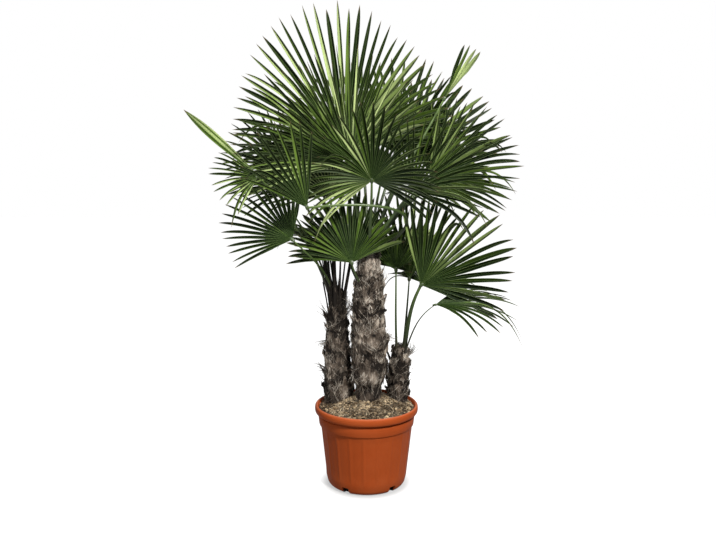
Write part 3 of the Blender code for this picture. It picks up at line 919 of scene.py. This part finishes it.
# ---- trunks

def trunk_top(trunk):
    return trunk["rings"][-1][0]


def trunk_centre(trunk, height):
    share = max(0.0, (height - POT_HEIGHT) / (trunk_top(trunk) - POT_HEIGHT))
    return Vector((*trunk["foot"], height)) + Vector((*trunk["lean"], 0.0)) * share


def trunk_radius(trunk, height):
    rings = trunk["rings"]
    for (low, low_radius), (high, high_radius) in zip(rings, rings[1:]):
        if height <= high:
            share = max(0.0, (height - low) / (high - low))
            return low_radius + (high_radius - low_radius) * share
    return rings[-1][1]


def bark_point(trunk, height, angle, lift=0.0):
    """A point on a trunk's lumpy surface, lifted out from it."""
    centre = trunk_centre(trunk, height)
    outwards = outwards_at(angle)
    lump = noise.noise(
        Vector((centre.x, centre.y, 0.0)) * 40 + outwards * 1.6 + UP * height * 16,
    )
    knot = noise.noise(outwards * 5.0 + UP * height * 55 + centre * 9)
    reach = trunk_radius(trunk, height) * (0.93 + 0.09 * lump) + 0.003 * knot + lift
    return centre + outwards * reach


def trunk_tone(trunk, height):
    """How pale a trunk's fibre is at a height: dark where green stalks still clothe it."""
    dark = smooth_step(trunk["dark_above"] - 0.04, trunk["dark_above"] + 0.03, height)
    return trunk["light"] - 0.42 * dark


def make_core(trunk, finish):
    """The matted body of a trunk, closed at both ends."""
    low, high, skirt = trunk["rings"][0][0], trunk_top(trunk), trunk["skirt"]
    bpy.ops.mesh.primitive_cylinder_add(
        vertices=CORE_SIDES, radius=1.0, depth=1.0, end_fill_type="TRIFAN",
    )
    core = bpy.context.object
    cut_rows(core, round((high - low) / CORE_ROW))
    tones = []
    for corner in core.data.vertices:
        height = low + (high - low) * (corner.co.z + 0.5)
        angle = math.atan2(corner.co.y, corner.co.x)
        place = Vector((math.cos(angle) * 14, math.sin(angle) * 14, height * 22))
        if math.hypot(corner.co.x, corner.co.y) > 0.5:
            corner.co = bark_point(trunk, height, angle, 0.0022 * noise.noise(place))
        else:
            corner.co = trunk_centre(trunk, height)
        # darkest just under the skirt, paler further down towards the soil
        below_skirt_tone = 0.05 + 0.34 * smooth_step(0.03, 0.08, skirt - height)
        tones.append(trunk_tone(trunk, height) - 0.12 if height > skirt else below_skirt_tone)
    set_tone(core, tones)
    return finished(core, finish, ALL_SMOOTH)


def make_wraps(trunk, finish, chance):
    """Ragged sheaths of old leaf bases that hug the trunk one above the other, frayed on top."""
    low, high, count = trunk["skirt"], trunk_top(trunk) - 0.02, trunk["wraps"]
    pieces = []
    for number in range(count):
        share = number / (count - 1)
        foot = low + (high - low) * share ** 1.05 - 0.012
        angle = number * GOLDEN_TURN + chance.uniform(-0.2, 0.2)
        wide = chance.uniform(0.55, 0.95)
        tall = chance.uniform(0.06, 0.12) * (1.0 - 0.35 * share)
        lean = chance.uniform(-0.35, 0.35)
        flare = chance.uniform(0.005, 0.020)
        torn = [chance.uniform(0.55, 1.0) for _ in range(WRAP_COLUMNS + 1)]
        tone = trunk_tone(trunk, foot) + chance.uniform(-0.46, 0.40)
        if foot > trunk["dark_above"]:
            tall, wide, lean, flare = tall * 1.3, wide * 0.45, lean * 0.3, flare * 0.3
        bpy.ops.mesh.primitive_grid_add(
            x_subdivisions=WRAP_COLUMNS, y_subdivisions=WRAP_ROWS, size=2.0,
        )
        wrap = bpy.context.object
        for corner in wrap.data.vertices:
            across = corner.co.x
            up = corner.co.y * 0.5 + 0.5
            column = round((across + 1.0) * 0.5 * WRAP_COLUMNS)
            rise = up * tall * (1.0 + (torn[column] - 1.0) * up) * (1.0 - 0.25 * across * across)
            height = min(foot + rise, trunk_top(trunk))
            turn = angle + across * wide * (1.0 - 0.30 * up) + lean * up
            lift = 0.002 + flare * up ** 2 - 0.003 * abs(across)
            corner.co = bark_point(trunk, height, turn, lift)
        set_even_tone(wrap, tone)
        apply_modifier(wrap, "thickness", "SOLIDIFY", thickness=WRAP_THICKNESS, offset=0.0)
        pieces.append(finished(wrap, finish, 40))
    return pieces


def make_stubs(trunk, finish, chance):
    """Stumps of cut leaf stalks in the fibre, and a bundle of slender ones where it is dark."""
    low, high = trunk["skirt"] + 0.03, trunk_top(trunk) - 0.08
    bundle = STALK_BUNDLE if trunk["dark_above"] < high else 0
    pieces = []
    for number in range(trunk["stubs"] + bundle):
        height = low + (high - low) * (number + 0.5) / trunk["stubs"]
        angle = number * GOLDEN_TURN + 0.7
        slender = number >= trunk["stubs"]
        if slender:
            height = trunk["dark_above"] + (high - trunk["dark_above"]) * chance.uniform(-0.25, 1.0)
        length = chance.uniform(0.032, 0.085)
        wide = chance.uniform(0.006, 0.012)
        if slender:
            length = chance.uniform(0.09, 0.17)
            wide = chance.uniform(0.0025, 0.0045)
            if number % 2:
                length = trunk["stalks_to"] - height
                wide = chance.uniform(0.0040, 0.0070)
        outwards = outwards_at(angle)
        sideways = UP.cross(outwards)
        upright = chance.uniform(0.8, 1.3) * (3.0 if slender else 1.0)
        steer = UP * upright + outwards * 0.5 + sideways * chance.uniform(-0.2, 0.2)
        steer.normalize()
        base = bark_point(trunk, height, angle, -0.006)
        bpy.ops.mesh.primitive_cube_add(size=1.0)
        stub = bpy.context.object
        in_edit_mode(stub, lambda: bpy.ops.mesh.subdivide(number_cuts=3))
        for corner in stub.data.vertices:
            up = corner.co.z + 0.5
            narrow = 1.0 - 0.45 * up
            slant = 0.3 * corner.co.x * up
            corner.co = (
                base + steer * length * (up + slant) + sideways * corner.co.x * wide * 2.0 * narrow
                + outwards * corner.co.y * (0.005 if slender else 0.009) * narrow
            )
        set_even_tone(stub, trunk_tone(trunk, height) - 0.25 + chance.uniform(-0.1, 0.1))
        pieces.append(finished(stub, finish, 50, outwards=True))
    return pieces


def clinging_path(trunk, height, high, hanging, loose, chance):
    """A fibre's way over the trunk's surface, and away from it where the fibre is loose."""
    low = trunk["skirt"]
    angle = chance.uniform(0.0, math.tau)
    length = chance.uniform(0.035, 0.11)
    slope = chance.choice((-1, 1)) * chance.uniform(0.1, 0.95)
    rise = -1.0 if hanging else chance.choice((1, 1, 1, -1))
    girth = max(0.03, trunk_radius(trunk, height))
    lift_start = chance.uniform(-0.001, 0.005)
    lift_end = chance.uniform(0.001, 0.009)
    if loose:
        lift_end = chance.uniform(0.012, 0.040)
    if height > trunk["dark_above"]:
        slope *= 0.25
        lift_end *= 0.5
    path = []
    bend = chance.uniform(-0.6, 0.6)
    for step in range(6):
        share = step / 5.0
        climb = height + rise * math.cos(slope) * length * share
        climb = min(max(climb, SOIL_EDGE_HEIGHT - 0.01), high + 0.006)
        if not hanging:
            climb = max(climb, low - 0.012)
        turn = angle + (math.sin(slope) * length * share + bend * length * share * share) / girth
        lift = lift_start + (lift_end - lift_start) * share ** 2
        path.append(bark_point(trunk, climb, turn, lift))
    return path


def make_threads(trunk, pattern, finish, chance):
    """Loose fibres: most cling to the trunk, some curl away from it, and tufts stand out."""
    heap = Heap()
    low, high = trunk["skirt"], trunk_top(trunk)
    for number in range(trunk["strands"]):
        hanging = number % 9 == 0
        height = low + (high - low) * chance.random() ** 0.9
        if hanging:
            height = low + 0.11 * chance.random() + 0.02
        path = clinging_path(trunk, height, high, hanging, number % 10 == 0, chance)
        radius = chance.uniform(0.0006, 0.0012)
        if number % 5 < 2:
            radius = chance.uniform(0.0012, 0.0021)
        heap.add_thread(
            pattern, path, radius, trunk_tone(trunk, height) + chance.uniform(-0.40, 0.52),
        )
    for height, degrees, rise in trunk["tufts"]:
        for _ in range(TUFT_COUNT):
            angle = math.radians(degrees + chance.uniform(-24.0, 24.0))
            reach = TUFT_REACH * chance.uniform(0.3, 1.0)
            start = height + chance.uniform(-0.014, 0.014)
            lean = (rise + chance.uniform(-0.4, 0.4)) * reach
            path = [
                bark_point(
                    trunk, start + lean * share, angle + 0.5 * share * share,
                    reach * share - 0.002,
                )
                for share in (0.0, 0.2, 0.4, 0.6, 0.8, 1.0)
            ]
            radius = chance.uniform(0.0012, 0.0022)
            heap.add_thread(pattern, path, radius, trunk_tone(trunk, start) + 0.1)
    return heap.piece("threads", finish)


def make_trunk(name, trunk, finishes, pattern, seed):
    chance = random.Random(seed)
    pieces = [make_core(trunk, finishes["fibre"])]
    pieces += make_wraps(trunk, finishes["fibre"], chance)
    pieces += make_stubs(trunk, finishes["fibre"], chance)
    pieces.append(make_threads(trunk, pattern, finishes["thread"], chance))
    return joined(pieces, f"{name}_shaggy")


# ---- soil

def soil_height(x, y):
    """Height of the uneven mound at a place in the pot."""
    share = min(1.0, math.hypot(x, y) / SOIL_EDGE_RADIUS)
    rise = SOIL_MOUND * (1.0 - share * share) ** 1.5
    bumps = noise.noise(Vector((x * 22, y * 22, 1.7))) * 0.005
    bumps += noise.noise(Vector((x * 70, y * 70, 4.0))) * 0.003
    return SOIL_EDGE_HEIGHT + rise + bumps * (1.0 - 0.6 * share)


def make_soil(finish):
    """Soil that fills the pot, with an uneven top."""
    foot = BASE_RADIUS - BASE_ROUNDING
    profile = [
        (0.0, FLOOR + SOIL_GAP), (foot - 0.010, FLOOR + SOIL_GAP),
        (foot - SOIL_GAP, FLOOR + 0.004 + SOIL_GAP),
        (wall_radius(WALL_FOOT) - WALL - SOIL_GAP, WALL_FOOT),
    ]
    for radius, height in (RIM_OUTLINE[-1], RIM_OUTLINE[-2]):
        profile.append((radius - SOIL_RIM_GAP, height))
    for row in range(SOIL_ROWS + 1):
        profile.append((SOIL_EDGE_RADIUS * (1.0 - row / SOIL_ROWS), SOIL_EDGE_HEIGHT))
    soil = turned("soil_mound", profile, SOIL_SIDES)
    for corner in soil.data.vertices:
        if corner.co.z > SOIL_EDGE_HEIGHT - 0.001:
            corner.co.z = soil_height(corner.co.x, corner.co.y)
    return finished(soil, finish, 60)


def clear_of_trunks(x, y, spare):
    for trunk in TRUNKS.values():
        away = math.hypot(x - trunk["foot"][0], y - trunk["foot"][1])
        if away < trunk_radius(trunk, 0.40) + spare:
            return False
    return True


def make_chips(finish, chance):
    """Bark chips, each an uneven lump that lies on the soil."""
    bpy.ops.mesh.primitive_ico_sphere_add(subdivisions=1, radius=1.0)
    pattern, faces = taken_apart(bpy.context.object)
    chips = Heap()
    laid = 0
    while laid < CHIP_COUNT:
        reach = CHIP_REACH * math.sqrt(chance.random())
        angle = chance.uniform(0.0, math.tau)
        x, y = reach * math.cos(angle), reach * math.sin(angle)
        if not clear_of_trunks(x, y, -0.006):
            continue
        laid += 1
        size = chance.uniform(0.0022, 0.0062)
        if chance.random() < 0.12:
            size *= 1.7
        long, wide, thick = (chance.uniform(least, most) * size for least, most in CHIP_STRETCHES)
        heading = chance.uniform(0.0, math.tau)
        tip_up = chance.uniform(-0.5, 0.5)
        centre = Vector((x, y, soil_height(x, y) + thick * 0.4))
        along = Vector((math.cos(heading), math.sin(heading), tip_up)).normalized()
        side = UP.cross(along).normalized()
        over = along.cross(side)
        corners = []
        for corner in pattern:
            rough = chance.uniform(0.75, 1.2)
            corners.append(
                centre + along * corner.x * long * rough + side * corner.y * wide * rough
                + over * corner.z * thick * rough
            )
        tone = chance.choice(CHIP_TONES) + chance.uniform(-0.1, 0.1)
        chips.add(corners, faces, tone)
    return chips.piece("chips", finish)


def make_straw(pattern, finish, chance):
    """Broken fibres, each bowed a little, strewn over the soil."""
    straw = Heap()
    for _ in range(LITTER_COUNT):
        reach = LITTER_REACH * math.sqrt(chance.random())
        angle = chance.uniform(0.0, math.tau)
        heading = chance.uniform(0.0, math.tau)
        length = chance.uniform(0.02, 0.07)
        bow = chance.uniform(-0.012, 0.012)
        path = []
        for step in range(5):
            share = step / 4.0
            arch = math.sin(math.pi * share)
            forward, sideways = length * (share - 0.5), bow * arch
            x = (reach * math.cos(angle) + forward * math.cos(heading)
                 - sideways * math.sin(heading))
            y = (reach * math.sin(angle) + forward * math.sin(heading)
                 + sideways * math.cos(heading))
            away = math.hypot(x, y)
            if away > LITTER_LIMIT:
                x, y = x * LITTER_LIMIT / away, y * LITTER_LIMIT / away
            path.append(Vector((x, y, soil_height(x, y) + 0.003 + 0.004 * arch)))
        radius = chance.uniform(0.0007, 0.0015)
        straw.add_thread(pattern, path, radius, chance.uniform(0.25, 1.05))
    return straw.piece("straw", finish)


def make_litter(pattern, finishes):
    """What lies loose on the soil."""
    chance = random.Random(LITTER_SEED)
    chips = make_chips(finishes["chip"], chance)
    return joined([chips, make_straw(pattern, finishes["straw"], chance)], "bark_litter")


# ---- leaves

def rib_point(item, angle, share, sink_more=0.0):
    """A point on a rib of the fan, which sinks under its own weight towards the tip."""
    cupped = item["normal"] * CUPPING * abs(math.sin(angle))
    direction = item["along"] * math.cos(angle) + item["left"] * math.sin(angle) + cupped
    direction.normalize()
    outer = 1.0 - math.exp(-((angle / OUTER_ANGLE) ** 2))
    length = item["reach"] * (1.0 - OUTER_SHORTER * outer)
    level = math.sqrt(max(0.0, 1.0 - direction.z ** 2))
    sink = (item["droop"] * level * share ** 2.6 + sink_more * share ** 4) * length
    return item["hub"] + direction * length * share - UP * sink


def slit_sheet(item, slits):
    """A flat sheet two cells wide for each segment, slit between them from each seam's row out."""
    count = item["segments"]
    bpy.ops.mesh.primitive_grid_add(
        x_subdivisions=2 * count, y_subdivisions=BLADE_ROWS, size=1.0,
    )
    sheet = bpy.context.object
    mesh = sheet.data
    activate(sheet)
    bpy.ops.object.mode_set(mode="EDIT")
    bpy.ops.mesh.select_mode(type="EDGE")
    bpy.ops.mesh.select_all(action="DESELECT")
    bpy.ops.object.mode_set(mode="OBJECT")
    for edge in mesh.edges:
        first, second = (mesh.vertices[corner].co for corner in edge.vertices)
        column = round((first.x + 0.5) * 2 * count)
        row = round((min(first.y, second.y) + 0.5) * BLADE_ROWS)
        on_seam = abs(first.x - second.x) < 1e-4 and column % 2 == 0 and 0 < column < 2 * count
        if on_seam and row >= slits[column // 2]:
            edge.select = True
    bpy.ops.object.mode_set(mode="EDIT")
    bpy.ops.mesh.edge_split(type="EDGE")
    bpy.ops.mesh.select_mode(type="VERT")
    bpy.ops.object.mode_set(mode="OBJECT")
    return sheet


def draw_segment(item, number, joint, chance):
    """The chance differences of one segment, which parts from the next at the row joint."""
    step = 2.0 * item["spread"] / item["segments"]
    middle = -item["spread"] + step * (number + 0.5)
    return {
        "angle": middle,
        "aside": chance.gauss(0.0, SEGMENT_ASIDE) * item["jitter"],
        "longer": 1.0 + chance.uniform(*SEGMENT_LONGER) * item["jitter"],
        "sink": max(0.0, chance.gauss(0.0, SEGMENT_SINK))
        + (SEGMENT_LIMP_SINK if chance.random() < item["droop"] * 0.5 else 0.0),
        "roll": chance.gauss(0.0, SEGMENT_ROLL) * item["jitter"],
        "joint": joint,
        # painted light and shade: one side of the fan brighter, the other darker
        "tone": item["tone"] + chance.choice(SEGMENT_TONES)
        + item["side_tone"] * middle / item["spread"],
    }


def segment_section(item, segment, shares, row):
    """Middle, side and upward vectors, half width and depth of a segment at a row."""
    share = shares[row]
    step = 2.0 * item["spread"] / item["segments"]
    free = 0.0
    if row > segment["joint"]:
        free = (row - segment["joint"]) / (BLADE_ROWS - segment["joint"])
    closing = 1.0 - item["shut"] * share ** 2.5
    angle = segment["angle"] * closing + segment["aside"] * free
    reach = share + (segment["longer"] - 1.0) * free * share
    sink = segment["sink"] * free
    point = rib_point(item, angle, reach, sink)
    forward = (rib_point(item, angle, reach + 0.02, sink) - point).normalized()
    side = rib_point(item, angle + 0.01, reach, sink) - point
    side = (side - forward * side.dot(forward)).normalized()
    up = forward.cross(side) * -1.0
    if up.dot(item["normal"]) < 0.0:
        up = -up
    roll = segment["roll"] * free
    rolled_side = side * math.cos(roll) + up * math.sin(roll)
    rolled_up = up * math.cos(roll) - side * math.sin(roll)
    half = 0.5 * step * (point - item["hub"]).length * max(0.02, closing)
    depth = half * item["fold"]
    if free > 0.0:
        joint_share = shares[min(BLADE_ROWS, int(segment["joint"]))]
        fuller = 1.0 + (item["fullness"] - 1.0) * smooth_step(0.0, 0.3, free)
        widest = 0.5 * step * item["reach"] * joint_share * fuller
        narrowing = 0.66 + 0.34 * math.exp(-((free / 0.24) ** 1.3))
        if item["shut"] > 0.0:
            narrowing = 1.5 - 0.3 * free
        half = widest * narrowing * (1.0 - free ** 7)
        depth = widest * item["fold"] * (1.0 - free ** 3.5)
    if item["shut"] > 0.0:
        depth = max(depth, 0.0005 * math.sin(math.pi * min(1.0, share)))
    return point, rolled_side, rolled_up, half, depth


def make_blade(item, finish, chance):
    """The pleated fan: joined near the stalk, split into stiff pointed segments further out."""
    count = item["segments"]
    slits = [chance.choice(item["slit_rows"]) for _ in range(count + 1)]
    sheet = slit_sheet(item, slits)
    mesh = sheet.data
    start = HUB_RADIUS / item["reach"]
    shares = [start + (1.0 - start) * row / BLADE_ROWS for row in range(BLADE_ROWS + 1)]
    segments = [
        draw_segment(item, number, 0.5 * (slits[number] + slits[number + 1]), chance)
        for number in range(count)
    ]
    columns = [round((corner.co.x + 0.5) * 2 * count) for corner in mesh.vertices]
    rows = [round((corner.co.y + 0.5) * BLADE_ROWS) for corner in mesh.vertices]
    face_segments = []
    owners = {}
    for face in mesh.polygons:
        centre = sum(columns[corner] for corner in face.vertices) / len(face.vertices)
        face_segments.append(int(centre / 2))
        for corner in face.vertices:
            owners.setdefault(corner, set()).add(face_segments[-1])
    set_segment_uv(mesh, lambda face, corner, _: (
        (columns[corner] - 2 * face_segments[face]) * 0.5, shares[rows[corner]],
    ))
    sections = {
        (number, row): segment_section(item, segment, shares, row)
        for number, segment in enumerate(segments) for row in range(BLADE_ROWS + 1)
    }
    tones = []
    for corner in mesh.vertices:
        column, row = columns[corner.index], rows[corner.index]
        mine = sorted(owners[corner.index])
        tones.append(sum(segments[number]["tone"] for number in mine) / len(mine))
        if column % 2:
            point, side, up, half, depth = sections[mine[0], row]
            corner.co = point - up * depth
            continue
        places = []
        for number in mine:
            point, side, up, half, depth = sections[number, row]
            places.append(point + side * half * (1.0 if column > 2 * number else -1.0))
        corner.co = sum(places, Vector()) / len(places)
    set_tone(sheet, tones)
    set_tone(sheet, [item["smooth"]] * len(tones), "smooth")
    in_edit_mode(sheet, lambda: bpy.ops.mesh.remove_doubles(threshold=0.00003))
    apply_modifier(sheet, "thickness", "SOLIDIFY", thickness=BLADE_THICKNESS, offset=0.0)
    return finished(sheet, finish, 22)


def stalk_foot(item):
    """Where the frame's stalk meets its trunk: the mean of its corners nearest the trunk's axis."""
    trunk = TRUNKS[item["trunk"]]
    crown = trunk_centre(trunk, min(trunk_top(trunk) - 0.04, item["hub"].z - 0.24))
    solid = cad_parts[item["name"]].data
    corners = {tuple(round(v, 5) for v in corner.co) for corner in solid.vertices}
    near = sorted(corners, key=lambda place: (Vector(place) - crown).length)[:6]
    return sum((Vector(place) for place in near), Vector()) / len(near)


def stalk_curve(item):
    """The four points that steer the stalk from inside its trunk to the hub."""
    base, hub = stalk_foot(item), item["hub"]
    span = (hub - base).length
    straight = (hub - base).normalized()
    first = base + (UP * 0.9 + straight).normalized() * span * 0.38
    second = hub - (item["along"] * 0.45 + straight * 0.55).normalized() * span * 0.33
    if item["arrive"]:
        first = Vector(item["leave"])
        second = Vector(item["arrive"])
    inside = trunk_centre(TRUNKS[item["trunk"]], base.z - 0.03)
    return base.lerp(Vector((inside.x, inside.y, base.z - 0.03)), 0.35), first, second, hub


def stalk_section(item, curve, share):
    """Middle, side and upward vectors and half width of the stalk, a share of the way along."""
    base, first, second, hub = curve
    rest = 1.0 - share
    point = (
        base * rest ** 3 + first * 3.0 * rest ** 2 * share
        + second * 3.0 * rest * share ** 2 + hub * share ** 3
    )
    heading = (
        (first - base) * rest ** 2 + (second - first) * 2.0 * rest * share
        + (hub - second) * share ** 2
    ).normalized()
    up = item["normal"] - heading * item["normal"].dot(heading)
    if up.length < 0.2:
        up = UP - heading * heading.z
    up.normalize()
    half = (STALK_WIDE * rest + STALK_NARROW * share) * item["girth"]
    half *= 1.0 + 0.7 * math.exp(-((share / 0.06) ** 2))
    return point, up.cross(heading), up, half


def make_stalk(item, finish):
    """The stalk: a round tapering curve from the trunk to the blade, wider where it clasps it."""
    curve = stalk_curve(item)
    bpy.ops.mesh.primitive_cylinder_add(vertices=8, radius=1.0, depth=1.0, end_fill_type="NGON")
    stalk = bpy.context.object
    cut_rows(stalk, STALK_SECTIONS)
    mesh = stalk.data
    shares = [round(corner.co.z + 0.5, 4) for corner in mesh.vertices]
    sections = {share: stalk_section(item, curve, share) for share in set(shares)}
    for corner, share in zip(mesh.vertices, shares):
        point, side, up, half = sections[share]
        flat = 0.62 if corner.co.y > 0 else 0.8
        corner.co = point + side * corner.co.x * half * 1.15 + up * corner.co.y * half * flat
    set_segment_uv(mesh, lambda face, corner, across: (across, shares[corner]))
    set_even_tone(stalk, 0.5)
    return finished(stalk, finish, 50, outwards=True)


def make_hub(item, finish):
    """The small knob where the stalk ends and the segments start."""
    bpy.ops.mesh.primitive_uv_sphere_add(segments=12, ring_count=8, radius=1.0)
    hub = bpy.context.object
    wide, long, thick = HUB_SIZE
    for corner in hub.data.vertices:
        corner.co = (
            item["hub"] + item["left"] * corner.co.x * wide + item["along"] * corner.co.y * long
            + item["normal"] * (corner.co.z * thick)
        )
    set_segment_uv(hub.data, lambda face, corner, across: (across, 0.40))
    set_even_tone(hub, 0.5)
    return finished(hub, finish, ALL_SMOOTH, outwards=True)


def make_leaf(item, seed, finishes):
    blade = make_blade(item, finishes["leaf"], random.Random(seed))
    stalk = make_stalk(item, finishes["stalk"])
    hub = make_hub(item, finishes["stalk"])
    return joined([blade, stalk, hub], f"{item['name']}_fan")


# ---- room, lights and camera

def make_floor():
    """A pale floor that shows white, keeps the shadow under the pot and has a painted shadow round
    its foot.
    """
    bpy.ops.mesh.primitive_plane_add(size=FLOOR_SIDE, location=(0, 0, 0))
    floor = bpy.context.object
    floor.name = "floor"
    made = Finish("pale floor")
    made.set("Base Color", (0.20, 0.20, 0.20))
    made.set("Roughness", 0.9)
    made.set("Specular IOR Level", 0.0)
    ray = made.add("LightPath").outputs
    mirrored = made.times(ray["Is Glossy Ray"], FLOOR_MIRRORED)
    seen = made.math("MAXIMUM", ray["Is Camera Ray"], mirrored)
    seen = made.math("MAXIMUM", seen, ray["Is Transmission Ray"])
    # painted shadow: the floor's white glow is weaker close to the pot, which darkens a ring round
    # its foot
    paler = made.add("MapRange", {
        "Value": made.length(made.where()), "From Min": 0.18, "From Max": 0.245,
        "To Min": 0.50, "To Max": 1.0,
    }, interpolation_type="SMOOTHSTEP").outputs["Result"]
    glow = made.add("Emission", {"Color": (1.0, 1.0, 1.0), "Strength": made.times(seen, paler)})
    made.set_surface(made.add("AddShader", {
        0: made.shader.outputs["BSDF"], 1: glow.outputs["Emission"],
    }), "Shader")
    floor.data.materials.append(made.material)


def make_world():
    """Even pale light from all round, and a white view."""
    world = bpy.data.worlds.new("studio")
    bpy.context.scene.world = world
    world.use_nodes = True
    made = Nodes(world.node_tree)
    ray = made.add("LightPath").outputs
    seen = made.math("MAXIMUM", ray["Is Camera Ray"], ray["Is Transmission Ray"])
    light = made.line(ray["Is Glossy Ray"], WORLD_MIRRORED, WORLD_LIGHT)
    sky = made.tree.nodes["Background"].inputs
    made.put(sky["Color"], (1.0, 1.0, 1.0))
    made.put(sky["Strength"], made.math("MAXIMUM", seen, light))


def add_lamp(name, place, target, size, power, colour):
    data = bpy.data.lights.new(name, "AREA")
    data.energy = power
    data.size = size
    data.color = colour
    lamp = bpy.data.objects.new(name, data)
    bpy.context.collection.objects.link(lamp)
    lamp.location = place
    lamp.rotation_euler = (Vector(target) - Vector(place)).to_track_quat("-Z", "Y").to_euler()


def make_camera():
    data = bpy.data.cameras.new("camera")
    data.lens = CAMERA_LENS_MM
    data.sensor_width = CAMERA_SENSOR_MM
    camera = bpy.data.objects.new("camera", data)
    bpy.context.collection.objects.link(camera)
    camera.location = CAMERA_PLACE
    camera.rotation_euler = (math.radians(CAMERA_TILT_DEG), 0.0, 0.0)
    bpy.context.scene.camera = camera


def settle(piece, node=None):
    """Lets a piece ride on the frame and the frame's solid that it stands for."""
    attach(piece, "root")
    if node:
        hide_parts(node)


def main():
    bpy.context.scene.view_settings.view_transform = "Standard"
    deselect_all()
    make_camera()
    make_world()
    for lamp in LAMPS:
        add_lamp(*lamp)
    make_floor()
    fibres = make_fibre_group()
    veins = make_vein_group()
    finishes = {key: fibre_material(fibres, *values) for key, values in FIBRES.items()}
    finishes["leaf"] = leaf_material(veins)
    finishes["stalk"] = stalk_material(veins)
    pattern = thread_pattern()
    settle(make_pot(pot_material(make_dust_group())), "pot")
    settle(make_soil(soil_material(fibres)), "soil")
    settle(make_litter(pattern, finishes))
    for seed, (name, trunk) in enumerate(TRUNKS.items(), TRUNK_SEED):
        node = f"trunk_{name}"
        settle(make_trunk(node, trunk, finishes, pattern, seed), node)
    for seed, item in enumerate(LEAVES, LEAF_SEED):
        settle(make_leaf(item, seed, finishes), item["name"])
    deselect_all()


main()
